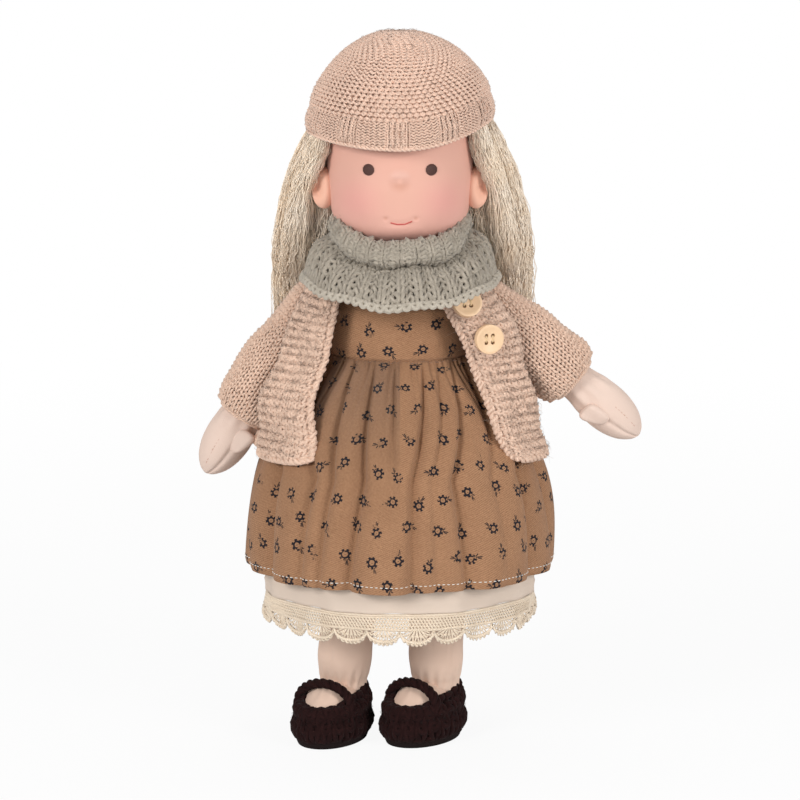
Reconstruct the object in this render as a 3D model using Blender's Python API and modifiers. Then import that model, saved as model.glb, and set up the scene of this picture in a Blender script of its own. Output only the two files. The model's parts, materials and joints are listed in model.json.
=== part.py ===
"""Dressed waldorf doll, standing 300 mm tall.

A stuffed body (torso, head, two arms, two legs and feet) wears a gathered dress over a
petticoat with a crochet lace edging, an open knitted cardigan with two buttons, a knitted
cowl, a knitted hat and crocheted shoes. The doll faces -Y and its left hand is at +X.
"""

import math

import bmesh
import bpy
from mathutils import Matrix, Vector

for old in list(bpy.data.objects):
    bpy.data.objects.remove(old, do_unlink=True)

# Clearances
FIT_GAP = 0.0004                # between pieces that touch
CUT_OVERRUN = 0.010             # how far a cutter runs past what it cuts

# Joints of the stuffed body
HIP_HEIGHT = 0.118              # hip pivots above the ground
HIP_SPACING = 0.034
SHOULDER_RISE = 0.0675          # shoulder pivots above the hip pivots
SHOULDER_SPACING = 0.071
RIGHT_ARM_SPREAD = math.radians(33)     # from hanging straight down
LEFT_ARM_SPREAD = math.radians(49.5)
LOWEST_ARM_SPREAD = math.radians(33)    # where a sleeve meets the cardigan's side
SHOULDER_HEIGHT = HIP_HEIGHT + SHOULDER_RISE

# Torso
TORSO_WAIST_RISE = 0.047        # waist above the hip pivots
TORSO_CHEST_HALF_WIDTH = 0.029
TORSO_WAIST_HALF_WIDTH = 0.0275
TORSO_HIP_HALF_WIDTH = 0.0305
TORSO_HALF_DEPTH = 0.022
NECK_RADIUS = 0.011
NECK_RISE = 0.0256              # top of the neck above the shoulder pivots
WAIST_HEIGHT = HIP_HEIGHT + TORSO_WAIST_RISE
NECK_TOP = SHOULDER_HEIGHT + NECK_RISE
HEAD_FOOT = NECK_TOP + FIT_GAP

# Arms, measured along the arm from the shoulder pivot
ARM_ROOT_RADIUS = 0.009
ARM_WRIST_RADIUS = 0.0082
HAND_RADIUS = 0.0098
ARM_LENGTH = 0.0855
THUMB_LENGTH = 0.0125
THUMB_RADIUS = 0.0036

# Sleeves
SLEEVE_ROOT_RADIUS = 0.0112
SLEEVE_PUFF_RADIUS = 0.0142
SLEEVE_CUFF_RADIUS = 0.0106
SLEEVE_WALL = 0.0032
RIGHT_HAND_SHOWING = 0.0310     # past the sleeve's end
LEFT_HAND_SHOWING = 0.0380
RIGHT_SLEEVE_LENGTH = ARM_LENGTH - RIGHT_HAND_SHOWING
LEFT_SLEEVE_LENGTH = ARM_LENGTH - LEFT_HAND_SHOWING
CUFF_DEPTH = 0.0026
CUFF_WALL = 0.0019

# Legs and feet
THIGH_RADIUS = 0.0135
SHIN_RADIUS = 0.0106
ANKLE_RADIUS = 0.0098
RIGHT_ANKLE_OFFSET = 0.025      # ankle from the doll's middle, towards -X
LEFT_ANKLE_OFFSET = 0.015       # the same towards +X
ANKLE_BACK = 0.0015             # ankles behind the hips
FOOT_HALF_WIDTH = 0.0120
FOOT_HALF_LENGTH = 0.0185
FOOT_HALF_HEIGHT = 0.0110
RIGHT_TOE_TURN = math.radians(26)       # both feet point towards -X
LEFT_TOE_TURN = math.radians(37)
ANKLE_SETBACK = 0.0085          # ankle behind the middle of the foot

# Shoes
SHOE_HALF_WIDTH = 0.0160
SHOE_HALF_LENGTH = 0.0225
SHOE_HEIGHT = 0.0195
SOLE_THICKNESS = 0.0029
SHOE_MOUTH_HALF_WIDTH = 0.0095
SHOE_MOUTH_HALF_LENGTH = 0.0130
SHOE_MOUTH_SETBACK = 0.0035
SHOE_MOUTH_FLOOR = 0.0100
STRAP_RADIUS = 0.0017
STRAP_SETFORWARD = 0.0055       # strap ahead of the middle of the foot

# Head and face
HEAD_HALF_WIDTH = 0.0302
HEAD_HALF_DEPTH = 0.0341
HEAD_HEIGHT = 0.0765
HEAD_FORWARD = 0.0010
NOSE_RADIUS = 0.0034
NOSE_RISE = 0.0295              # above the underside of the head
EYE_RADIUS = 0.0023
EYE_BULGE = 0.0011
EYE_RISE = 0.0340
EYE_SPACING = 0.0254
EAR_HALF_HEIGHT = 0.0087
EAR_HALF_DEPTH = 0.0058
EAR_HALF_THICKNESS = 0.0052
EAR_RISE = 0.0235
EAR_OUT = 0.0314
EAR_FORWARD = 0.0060
EAR_HOLLOW_RADIUS = 0.0034

# Hair
HAIR_CAP_THICKNESS = 0.0030
HAIRLINE_FRONT_RISE = 0.0450    # above the underside of the head
HAIRLINE_BACK_RISE = 0.0200
HAIR_ENDS_DROP = 0.0355         # ends below the shoulder pivots
HAIR_ENDS_HEIGHT = SHOULDER_HEIGHT - HAIR_ENDS_DROP
HAIR_LOCK_HALF_WIDTH = 0.0115
HAIR_LOCK_HALF_DEPTH = 0.0095
RIGHT_LOCK_OUT = 0.0430         # middle of a side lock from the doll's middle
LEFT_LOCK_OUT = 0.0450
HAIR_BACK_HALF_WIDTH = 0.0340
HAIR_BACK_HALF_DEPTH = 0.0060

# Hat
HAT_HALF_WIDTH = 0.0378
HAT_HALF_DEPTH = 0.0410
HAT_WALL = 0.0036
HAT_RISE = 0.0120               # above the top of the head
HAT_TOP = HEAD_FOOT + HEAD_HEIGHT + HAT_RISE
HAT_BRIM_HEIGHT = 0.0100
HAT_BRIM_WALL = 0.0050
HAT_BRIM_STANDOUT = 0.0016
HAT_EDGE_RISE = 0.0530          # lower edge of the brim at the sides, above the underside of the head
HAT_EDGE_SIDE = HEAD_FOOT + HAT_EDGE_RISE
HAT_EDGE_FRONT_DROP = 0.0100
HAT_EDGE_BACK_DROP = 0.0060

# Dress
CLOTH = 0.0009
BODICE_EASE = 0.0004
SKIRT_LENGTH = 0.0890
HEM_HEIGHT = WAIST_HEIGHT - SKIRT_LENGTH
SKIRT_HALF_WIDTH = 0.0645       # at the hem
SKIRT_HALF_DEPTH = 0.0600

# Folds of the skirt, each by its angles in degrees from straight ahead at the waist, half way down and at
# the hem, the shares of the greatest depth that it has at those places, and its half width in degrees
SKIRT_FOLDS = (
    (-72, -37, -40, 0.9, 0.7, 0.6, 5.5), (-41, -28, -32, 0.9, 0.8, 0.6, 5.0), (-21, -15, -20, 0.9, 1.0, 0.9, 5.5),
    (-4, -3, -4, 0.9, 0.2, 0.0, 4.5), (19, 5, 4, 0.9, 0.9, 0.8, 5.0), (32, 13, 14, 0.6, 0.5, 0.5, 7.0),
    (46, 22, 26, 0.9, 0.8, 0.7, 5.0), (62, 40, 42, 0.9, 0.3, 0.2, 6.0), (80, 56, 59, 0.8, 1.0, 0.8, 6.0),
    (100, 77, 79, 0.8, 0.9, 0.8, 7.0), (119, 98, 99, 0.9, 0.8, 0.9, 7.5), (138, 119, 118, 0.8, 1.0, 0.7, 7.0),
    (158, 141, 140, 0.9, 0.8, 0.9, 8.0), (177, 163, 165, 0.8, 0.9, 0.8, 7.0), (-160, -173, -170, 0.9, 0.8, 0.9, 7.5),
    (-142, -150, -147, 0.8, 1.0, 0.8, 7.5), (-124, -126, -123, 0.9, 0.8, 0.9, 7.0),
    (-107, -103, -100, 0.8, 0.9, 0.8, 7.0), (-90, -80, -78, 0.9, 0.9, 0.9, 6.5), (-80, -58, -58, 0.6, 0.8, 0.8, 6.0),
)
FOLD_DEPTHS = ((0.0, 0.0), (0.05, 0.0016), (0.12, 0.0030), (0.35, 0.0046), (0.70, 0.0046), (1.0, 0.0042))

# Petticoat and lace
PETTICOAT_TOP_DROP = 0.0070     # below the waist seam
PETTICOAT_CLEARANCE = 0.0010
PETTICOAT_SHOWING = 0.0100      # below the skirt's hem
PETTICOAT_HEM = HEM_HEIGHT - PETTICOAT_SHOWING
PETTICOAT_FOLDS = 8
PETTICOAT_FOLD_DEPTH = 0.0018
LACE_DEPTH = 0.0110
LACE_THICKNESS = 0.0009
LACE_SCALLOPS = 26
LACE_SCALLOP_DEPTH = 0.0020

# Cardigan
KNIT = 0.0036
CHEST_EASE = 0.0040
FLAP_EASE = 0.0105              # how far the open fronts stand out before the sleeves
FLAP_FOOT_SHARES = (0.05, 0.40)         # where that begins, from the hem to the top
FLAP_HEAD_SHARES = (0.50, 0.95)         # and where it ends
CARDIGAN_SKIRT = 0.0370         # below the waist seam
CARDIGAN_HEM = WAIST_HEIGHT - CARDIGAN_SKIRT
LEFT_OPENING_TOP = math.radians(22)     # front edges, as angles from straight ahead
LEFT_OPENING_HEM = math.radians(53)
RIGHT_OPENING_TOP = math.radians(39)
RIGHT_OPENING_HEM = math.radians(34)
SIDE_SEAM_FORWARD = 0.0150      # side seams ahead of the doll's middle

# Buttons
BUTTON_RADIUS = 0.0062
BUTTON_THICKNESS = 0.0026
BUTTON_RIM = 0.0013
BUTTON_DISH = 0.0007
BUTTON_HOLE_RADIUS = 0.0008
BUTTON_HOLE_SPACING = 0.0026
LOWER_BUTTON_DROP = 0.0085      # below the shoulder pivots
LOWER_BUTTON_HEIGHT = SHOULDER_HEIGHT - LOWER_BUTTON_DROP
BUTTON_SPACING = 0.0130
BUTTON_FROM_EDGE = math.radians(16)

# Cowl
COWL_HALF_WIDTH = 0.0405        # at the edge of its cape
COWL_DEPTH_SHARE = 1.08
COWL_FORWARD = 0.0020
COWL_RISE = 0.0113              # underside above the shoulder pivots
COWL_SEAT = SHOULDER_HEIGHT + COWL_RISE
COWL_ROLL_DEPTH = 0.0267
COWL_ROLL_TOP = COWL_SEAT + COWL_ROLL_DEPTH
COWL_BORE = 0.0232
COWL_CAPE_THICKNESS = 0.0040
COWL_FRONT_DROP = 0.0072
COWL_CHIN_DIP = 0.0060          # the roll's top below the chin, under its height at the sides
CARDIGAN_TOP = COWL_SEAT - FIT_GAP * 2
CARDIGAN_DIP_SHARE = 0.62       # how far its top edge follows the cowl's droop

# How finely the round pieces are divided
BODY_STEPS = 22
SKIRT_STEPS = 86
PETTICOAT_STEPS = 40
SMALL_STEPS = 12

# Colours
SKIN_FACE = (0.86, 0.56, 0.48)
SKIN_COTTON = (0.80, 0.69, 0.60)
DARK_BROWN = (0.10, 0.045, 0.035)
HAIR_BLOND = (0.84, 0.74, 0.55)
BEIGE_WOOL = (0.70, 0.53, 0.42)
SAGE_WOOL = (0.47, 0.48, 0.41)
DRESS_TAN = (0.50, 0.30, 0.17)
CREAM_COTTON = (0.85, 0.78, 0.66)
LACE_CREAM = (0.86, 0.76, 0.62)
SHOE_BROWN = (0.055, 0.020, 0.018)
BUTTON_CREAM = (0.90, 0.72, 0.42)

doll = bpy.data.collections.new("waldorf_doll")
cutters = bpy.data.collections.new("cutters")
bpy.context.scene.collection.children.link(doll)
bpy.context.scene.collection.children.link(cutters)

stand = bpy.data.objects.new("stand_point", None)
doll.objects.link(stand)


def finish(name, colour, roughness=0.85):
    """A plain material in the piece's colour."""
    material = bpy.data.materials.new(name)
    material.use_nodes = True
    shader = material.node_tree.nodes["Principled BSDF"]
    shader.inputs["Base Color"].default_value = (*colour, 1.0)
    shader.inputs["Roughness"].default_value = roughness
    shader.inputs["Metallic"].default_value = 0.0
    return material


def add_piece(name, mesh, colour, parent=stand, roughness=0.85):
    """Put a mesh in the doll as a named piece."""
    piece = bpy.data.objects.new(name, mesh)
    mesh.materials.clear()
    mesh.materials.append(finish(name, colour, roughness))
    doll.objects.link(piece)
    piece.parent = parent
    mesh.shade_smooth()
    mesh.set_sharp_from_angle(angle=math.radians(40))
    return piece


def pivot(name, place, turn=(0.0, 0.0, 0.0)):
    """An empty on a joint, which carries the pieces that move with it."""
    empty = bpy.data.objects.new(name, None)
    doll.objects.link(empty)
    empty.parent = stand
    empty.location = place
    empty.rotation_euler = turn
    bpy.context.view_layer.update()
    return empty


def freeze(piece):
    """Turn a piece's modifiers into its mesh."""
    graph = bpy.context.evaluated_depsgraph_get()
    mesh = bpy.data.meshes.new_from_object(piece.evaluated_get(graph))
    piece.modifiers.clear()
    piece.data = mesh
    mesh.shade_smooth()
    mesh.set_sharp_from_angle(angle=math.radians(40))
    return piece


def tool_mesh(name, mesh, world=None):
    """Put a mesh among the cutters."""
    tool = bpy.data.objects.new(name, mesh)
    cutters.objects.link(tool)
    if world is not None:
        tool.matrix_world = world
    tool.hide_render = True
    tool.display_type = "WIRE"
    bpy.context.view_layer.update()
    return tool


def grown(piece, by):
    """A cutter of a piece's shape, larger by a clearance all round."""
    bm = bmesh.new()
    bm.from_mesh(piece.data)
    bm.normal_update()
    moved = [vert.co + vert.normal * by * min(vert.calc_shell_factor(), 1.6) for vert in bm.verts]
    for vert, place in zip(bm.verts, moved):
        vert.co = place
    mesh = bpy.data.meshes.new(piece.name + "_room")
    bm.to_mesh(mesh)
    bm.free()
    return tool_mesh(piece.name + "_room", mesh, piece.matrix_world)


def combine(piece, tool, operation="DIFFERENCE"):
    """Cut a piece with a tool, or join the tool to it."""
    step = piece.modifiers.new(tool.name, "BOOLEAN")
    step.object = tool
    step.operation = operation
    step.solver = "EXACT"
    return freeze(piece)


def make_room(piece, *neighbours, gap=FIT_GAP):
    """Cut from a piece the room that its neighbours take."""
    for neighbour in neighbours:
        combine(piece, grown(neighbour, gap))
    return piece


def loft_mesh(name, rings, start="flat", end="flat", closed=True):
    """Skin rings of points. An end is flat, open, or drawn to a point."""
    bm = bmesh.new()
    rows = [[bm.verts.new(point) for point in ring] for ring in rings]
    count = len(rows[0])
    last = count if closed else count - 1
    for lower, upper in zip(rows, rows[1:]):
        for i in range(last):
            j = (i + 1) % count
            bm.faces.new((lower[i], lower[j], upper[j], upper[i]))
    for row, kind in ((rows[0], start), (rows[-1], end)):
        if kind == "flat":
            bm.faces.new(row)
        if kind == "point":
            tip = bm.verts.new(sum((vert.co for vert in row), Vector()) / count)
            for i in range(count):
                bm.faces.new((row[i], row[(i + 1) % count], tip))
    bmesh.ops.recalc_face_normals(bm, faces=bm.faces[:])
    mesh = bpy.data.meshes.new(name)
    bm.to_mesh(mesh)
    bm.free()
    return mesh


def face_out(mesh):
    """Turn an open sheet's faces away from the doll's upright axis."""
    bm = bmesh.new()
    bm.from_mesh(mesh)
    bm.normal_update()
    lean = 0.0
    for face in bm.faces:
        middle = face.calc_center_median()
        lean += face.normal.x * middle.x + face.normal.y * middle.y
    if lean < 0:
        bmesh.ops.reverse_faces(bm, faces=bm.faces[:])
    bm.to_mesh(mesh)
    bm.free()


def give_wall(piece, wall):
    """Thicken an open surface inwards."""
    face_out(piece.data)
    step = piece.modifiers.new("wall", "SOLIDIFY")
    step.thickness = wall
    step.offset = -1.0
    step.use_even_offset = False
    return freeze(piece)


def turned_mesh(name, profile, steps, loop=False):
    """Turn a profile of (radius, height) points about the Z axis."""
    bm = bmesh.new()
    points = [bm.verts.new((radius, 0.0, height)) for radius, height in profile]
    for above, below in zip(points, points[1:]):
        bm.edges.new((above, below))
    if loop:
        bm.edges.new((points[-1], points[0]))
    mesh = bpy.data.meshes.new(name)
    bm.to_mesh(mesh)
    bm.free()
    guide = bpy.data.objects.new(name, mesh)
    cutters.objects.link(guide)
    step = guide.modifiers.new("turn", "SCREW")
    step.steps = steps
    step.render_steps = steps
    step.use_merge_vertices = True
    step.merge_threshold = 0.00001
    bpy.context.view_layer.update()
    graph = bpy.context.evaluated_depsgraph_get()
    turned = bpy.data.meshes.new_from_object(guide.evaluated_get(graph))
    bpy.data.objects.remove(guide, do_unlink=True)
    bm = bmesh.new()
    bm.from_mesh(turned)
    bmesh.ops.remove_doubles(bm, verts=bm.verts[:], dist=0.00001)
    bmesh.ops.recalc_face_normals(bm, faces=bm.faces[:])
    bm.to_mesh(turned)
    bm.free()
    return turned


def ball_mesh(name, centre, half_sizes, steps=SMALL_STEPS, turn=0.0):
    """An ellipsoid, turned about the Z axis through its centre."""
    bm = bmesh.new()
    bmesh.ops.create_uvsphere(bm, u_segments=steps, v_segments=steps // 2 + 2, radius=1.0)
    place = Matrix.Translation(centre) @ Matrix.Rotation(turn, 4, "Z")
    bm.transform(place @ Matrix.Diagonal((*half_sizes, 1.0)))
    mesh = bpy.data.meshes.new(name)
    bm.to_mesh(mesh)
    bm.free()
    return mesh


def smooth_share(value, low, high):
    """0 below low, 1 above high, and an even S-curve between them."""
    share = min(max((value - low) / (high - low), 0.0), 1.0)
    return share * share * (3.0 - 2.0 * share)


def between(stations, value):
    """Read a table of rows by its first column, smoothly between the rows."""
    for lower, upper in zip(stations, stations[1:]):
        if value <= upper[0]:
            share = max((value - lower[0]) / (upper[0] - lower[0]), 0.0)
            return [a + (b - a) * share for a, b in zip(lower[1:], upper[1:])]
    return list(stations[-1][1:])


def oval(half_width, half_depth, height, steps, centre=(0.0, 0.0), power=2.0):
    """A level oval of points, square-shouldered when its power is above 2."""
    ring = []
    for i in range(steps):
        angle = math.tau * i / steps
        across = math.copysign(abs(math.sin(angle)) ** (2.0 / power), math.sin(angle))
        along = math.copysign(abs(math.cos(angle)) ** (2.0 / power), math.cos(angle))
        ring.append(Vector((centre[0] + half_width * across, centre[1] - half_depth * along, height)))
    return ring


# Torso: a stuffed bag that swells at the hips and chest and is tied in at the neck.
TORSO_FOOT = HIP_HEIGHT + THIGH_RADIUS * 0.4
TORSO_SHAPE = (
    (TORSO_FOOT, TORSO_HIP_HALF_WIDTH * 0.80, TORSO_HALF_DEPTH * 0.66),
    (HIP_HEIGHT + TORSO_WAIST_RISE * 0.28, TORSO_HIP_HALF_WIDTH * 0.96, TORSO_HALF_DEPTH * 0.90),
    (HIP_HEIGHT + TORSO_WAIST_RISE * 0.48, TORSO_HIP_HALF_WIDTH, TORSO_HALF_DEPTH),
    (HIP_HEIGHT + TORSO_WAIST_RISE * 0.72, TORSO_HIP_HALF_WIDTH * 0.94, TORSO_HALF_DEPTH * 0.98),
    (HIP_HEIGHT + TORSO_WAIST_RISE * 0.88, TORSO_WAIST_HALF_WIDTH, TORSO_HALF_DEPTH * 0.96),
    (WAIST_HEIGHT, TORSO_WAIST_HALF_WIDTH, TORSO_HALF_DEPTH * 0.96),
    (WAIST_HEIGHT + (SHOULDER_HEIGHT - WAIST_HEIGHT) * 0.5, TORSO_CHEST_HALF_WIDTH, TORSO_HALF_DEPTH),
    (SHOULDER_HEIGHT, TORSO_CHEST_HALF_WIDTH, TORSO_HALF_DEPTH),
    (SHOULDER_HEIGHT + NECK_RISE * 0.20, TORSO_CHEST_HALF_WIDTH * 0.96, TORSO_HALF_DEPTH * 0.90),
    (SHOULDER_HEIGHT + NECK_RISE * 0.34, TORSO_CHEST_HALF_WIDTH * 0.84, TORSO_HALF_DEPTH * 0.76),
    (SHOULDER_HEIGHT + NECK_RISE * 0.45, TORSO_CHEST_HALF_WIDTH * 0.62, TORSO_HALF_DEPTH * 0.66),
    (SHOULDER_HEIGHT + NECK_RISE * 0.58, NECK_RADIUS * 1.15, NECK_RADIUS * 1.10),
    (NECK_TOP, NECK_RADIUS, NECK_RADIUS),
)
torso = add_piece(
    "torso",
    loft_mesh("torso", [oval(wide, deep, height, BODY_STEPS) for height, wide, deep in TORSO_SHAPE]),
    SKIN_COTTON,
)


# Arms: stuffed tubes with a round root that turns in the armhole, and a mitten hand.
def arc_profile(radius, pieces):
    """A quarter round from the pole down to the widest point."""
    points = []
    for i in range(pieces + 1):
        angle = math.pi / 2 * i / pieces
        points.append((radius * math.sin(angle), radius * math.cos(angle)))
    return points


def arm_profile():
    """The arm's outline from the shoulder pole to the tip of the hand."""
    wrist = ARM_LENGTH * 0.62
    return arc_profile(ARM_ROOT_RADIUS, 5) + [
        (ARM_ROOT_RADIUS * 0.97, -ARM_LENGTH * 0.3),
        (ARM_WRIST_RADIUS, -wrist),
        (ARM_WRIST_RADIUS + (HAND_RADIUS - ARM_WRIST_RADIUS) * 0.7, -ARM_LENGTH * 0.72),
        (HAND_RADIUS, -ARM_LENGTH * 0.81),
        (HAND_RADIUS * 0.93, -ARM_LENGTH * 0.89),
        (HAND_RADIUS * 0.70, -ARM_LENGTH * 0.95),
        (HAND_RADIUS * 0.36, -ARM_LENGTH * 0.99),
        (0.0, -ARM_LENGTH),
    ]


def sleeve_profile(length):
    """Outer wall down to the cuff and inner wall back up, for a puffed knitted sleeve."""
    inner_root = ARM_ROOT_RADIUS + FIT_GAP
    inner_end = ARM_ROOT_RADIUS + FIT_GAP
    outer = arc_profile(SLEEVE_ROOT_RADIUS, 6) + [
        (SLEEVE_ROOT_RADIUS + (SLEEVE_PUFF_RADIUS - SLEEVE_ROOT_RADIUS) * 0.30, -length * 0.22),
        (SLEEVE_PUFF_RADIUS * 0.965, -length * 0.42),
        (SLEEVE_PUFF_RADIUS, -length * 0.62),
        (SLEEVE_PUFF_RADIUS * 0.985, -length * 0.84),
        (SLEEVE_PUFF_RADIUS * 0.93, -length * 0.93),
        (SLEEVE_CUFF_RADIUS, -length),
    ]
    inner = [
        (inner_end, -length),
        (SLEEVE_PUFF_RADIUS - SLEEVE_WALL, -length * 0.84),
        (SLEEVE_PUFF_RADIUS - SLEEVE_WALL, -length * 0.60),
        (inner_root, -length * 0.22),
    ]
    return outer + inner + list(reversed(arc_profile(inner_root, 5)))


def thumb_mesh(side):
    """A small stuffed thumb on the front of the hand, leaning to the body."""
    place = Vector((-side * HAND_RADIUS * 0.45, -HAND_RADIUS * 0.80, -ARM_LENGTH * 0.76))
    return ball_mesh("thumb", place, (THUMB_RADIUS, THUMB_RADIUS, THUMB_LENGTH / 2), 12)


def cuff_profile(length):
    """A crocheted ring below the sleeve's end."""
    top = -length - FIT_GAP
    inner = ARM_ROOT_RADIUS + FIT_GAP
    return [
        (inner + CUFF_WALL * 0.5, top),
        (inner + CUFF_WALL, top - CUFF_DEPTH * 0.3),
        (inner + CUFF_WALL, top - CUFF_DEPTH * 0.7),
        (inner + CUFF_WALL * 0.5, top - CUFF_DEPTH),
        (inner, top - CUFF_DEPTH * 0.7),
        (inner, top - CUFF_DEPTH * 0.3),
    ]


def add_arm(name, side, spread, length):
    """An arm, its sleeve and its cuff, all on the shoulder pivot."""
    place = (side * SHOULDER_SPACING / 2, 0.0, SHOULDER_HEIGHT)
    joint = pivot("shoulder_" + name, place, (0.0, -side * spread, 0.0))
    arm = add_piece("arm_" + name, turned_mesh("arm", arm_profile(), BODY_STEPS - 4), SKIN_COTTON, joint)
    bpy.context.view_layer.update()
    combine(arm, tool_mesh("thumb_" + name, thumb_mesh(side), arm.matrix_world), "UNION")
    sleeve = add_piece(
        "sleeve_" + name,
        turned_mesh("sleeve", sleeve_profile(length), BODY_STEPS - 4),
        BEIGE_WOOL,
        joint,
    )
    cuff = add_piece(
        "cuff_" + name,
        turned_mesh("cuff", cuff_profile(length), BODY_STEPS - 4, loop=True),
        BEIGE_WOOL,
        joint,
    )
    return arm, sleeve, cuff


def armhole_room(side, length):
    """What a sleeve and its cuff sweep at their lowest, with their clearance, filled in."""
    profile = [(radius, height) for radius, height in sleeve_profile(length)[:13]]
    cuff_foot = -length - FIT_GAP - CUFF_DEPTH
    profile.append((ARM_ROOT_RADIUS + FIT_GAP + CUFF_WALL, cuff_foot))
    profile.append((0.0, cuff_foot))
    mesh = turned_mesh("armhole", profile, BODY_STEPS - 4)
    place = Matrix.Translation((side * SHOULDER_SPACING / 2, 0.0, SHOULDER_HEIGHT))
    turn = Matrix.Rotation(-side * LOWEST_ARM_SPREAD, 4, "Y")
    solid = tool_mesh("sleeve_sweep", mesh, place @ turn)
    return grown(solid, FIT_GAP)


arm_right, sleeve_right, cuff_right = add_arm("right", -1, RIGHT_ARM_SPREAD, RIGHT_SLEEVE_LENGTH)
arm_left, sleeve_left, cuff_left = add_arm("left", 1, LEFT_ARM_SPREAD, LEFT_SLEEVE_LENGTH)
armholes = (armhole_room(-1, RIGHT_SLEEVE_LENGTH), armhole_room(1, LEFT_SLEEVE_LENGTH))


# Legs and feet: stuffed tubes with a round top in the seat, and feet sewn on at the ankle.
LEG_FOOT_HEIGHT = SOLE_THICKNESS + FIT_GAP + FOOT_HALF_HEIGHT


def leg_mesh(side, ankle_offset):
    """The leg's rings, from the ankle up to the dome in the seat."""
    hip = Vector((side * HIP_SPACING / 2, 0.0))
    ankle = Vector((side * ankle_offset, ANKLE_BACK))
    rings = []
    for share, radius in (
        (0.0, ANKLE_RADIUS),
        (0.12, SHIN_RADIUS * 0.98),
        (0.30, SHIN_RADIUS),
        (0.52, SHIN_RADIUS + (THIGH_RADIUS - SHIN_RADIUS) * 0.45),
        (0.76, SHIN_RADIUS + (THIGH_RADIUS - SHIN_RADIUS) * 0.85),
    ):
        height = LEG_FOOT_HEIGHT + (HIP_HEIGHT - LEG_FOOT_HEIGHT) * share
        rings.append(oval(radius, radius, height, BODY_STEPS - 4, ankle.lerp(hip, share)))
    for i in range(5):
        angle = math.pi / 2 * i / 5
        radius = THIGH_RADIUS * math.cos(angle)
        rings.append(oval(radius, radius, HIP_HEIGHT + THIGH_RADIUS * math.sin(angle), BODY_STEPS - 4, hip))
    mesh = loft_mesh("leg", rings, end="point")
    tip = max(mesh.vertices, key=lambda vertex: len([e for e in mesh.edges if vertex.index in e.vertices]))
    tip.co.z = HIP_HEIGHT + THIGH_RADIUS
    mesh.transform(Matrix.Translation((-hip.x, 0.0, -HIP_HEIGHT)))
    return mesh


def foot_axis(side, ankle_offset, turn):
    """Where the middle of the foot stands, from the ankle and the way the toes point."""
    ahead = Vector((-math.sin(turn), -math.cos(turn)))
    return Vector((side * ankle_offset, ANKLE_BACK)) + ahead * ANKLE_SETBACK


def shoe_rings():
    """Level ovals of the shoe from its flat sole to the top of its dome."""
    shape = ((0.0, 0.90), (0.12, 0.98), (0.30, 1.0), (0.52, 0.985), (0.72, 0.90), (0.88, 0.74), (1.0, 0.50))
    return [
        oval(SHOE_HALF_WIDTH * share, SHOE_HALF_LENGTH * share, SHOE_HEIGHT * rise, BODY_STEPS)
        for rise, share in shape
    ]


def strap_mesh():
    """A crocheted strap arched over the instep."""
    curve = bpy.data.curves.new("strap", "CURVE")
    curve.dimensions = "3D"
    curve.bevel_depth = STRAP_RADIUS
    curve.bevel_resolution = 2
    curve.use_fill_caps = True
    spline = curve.splines.new("POLY")
    low = SHOE_MOUTH_FLOOR
    top = SOLE_THICKNESS + FIT_GAP + FOOT_HALF_HEIGHT * 2 + STRAP_RADIUS
    reach = SHOE_HALF_WIDTH * 0.90
    turns = 10
    spline.points.add(turns)
    for i, point in enumerate(spline.points):
        angle = math.pi * i / turns
        point.co = (reach * math.cos(angle), -STRAP_SETFORWARD, low + (top - low) * math.sin(angle), 1.0)
    guide = bpy.data.objects.new("strap", curve)
    cutters.objects.link(guide)
    bpy.context.view_layer.update()
    graph = bpy.context.evaluated_depsgraph_get()
    mesh = bpy.data.meshes.new_from_object(guide.evaluated_get(graph))
    bpy.data.objects.remove(guide, do_unlink=True)
    bm = bmesh.new()
    bm.from_mesh(mesh)
    bmesh.ops.remove_doubles(bm, verts=bm.verts[:], dist=0.00001)
    bmesh.ops.recalc_face_normals(bm, faces=bm.faces[:])
    bm.to_mesh(mesh)
    bm.free()
    return mesh


def add_leg(name, side, ankle_offset, turn):
    """A leg, its foot, its shoe and the shoe's strap, all on the hip pivot."""
    hip = Vector((side * HIP_SPACING / 2, 0.0, HIP_HEIGHT))
    joint = pivot("hip_" + name, hip)
    middle = foot_axis(side, ankle_offset, turn)
    to_hip = Matrix.Translation(-hip)
    stand_on = to_hip @ Matrix.Translation((middle.x, middle.y, 0.0)) @ Matrix.Rotation(-turn, 4, "Z")

    foot_shape = ball_mesh(
        "foot",
        Vector((0.0, 0.0, LEG_FOOT_HEIGHT)),
        (FOOT_HALF_WIDTH, FOOT_HALF_LENGTH, FOOT_HALF_HEIGHT),
    )
    foot_shape.transform(stand_on)
    foot = add_piece("foot_" + name, foot_shape, SKIN_COTTON, joint)

    leg = add_piece("leg_" + name, leg_mesh(side, ankle_offset), SKIN_COTTON, joint)
    bpy.context.view_layer.update()
    rooms = (grown(foot, FIT_GAP), grown(leg, FIT_GAP))
    combine(leg, rooms[0])

    shoe_shape = loft_mesh("shoe", shoe_rings())
    shoe_shape.transform(stand_on)
    shoe = add_piece("shoe_" + name, shoe_shape, SHOE_BROWN, joint, 0.95)
    mouth = loft_mesh("mouth", [
        oval(SHOE_MOUTH_HALF_WIDTH, SHOE_MOUTH_HALF_LENGTH, height, BODY_STEPS, (0.0, SHOE_MOUTH_SETBACK))
        for height in (SHOE_MOUTH_FLOOR, SHOE_HEIGHT + CUT_OVERRUN)
    ])
    mouth.transform(stand_on)
    bpy.context.view_layer.update()
    combine(shoe, tool_mesh("shoe_mouth_" + name, mouth, shoe.matrix_world))
    for room in rooms:
        combine(shoe, room)

    strap_shape = strap_mesh()
    strap_shape.transform(stand_on)
    strap = add_piece("strap_" + name, strap_shape, SHOE_BROWN, joint, 0.95)
    bpy.context.view_layer.update()
    for room in (grown(shoe, FIT_GAP), *rooms):
        combine(strap, room)
    return leg, foot, shoe, strap


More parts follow.
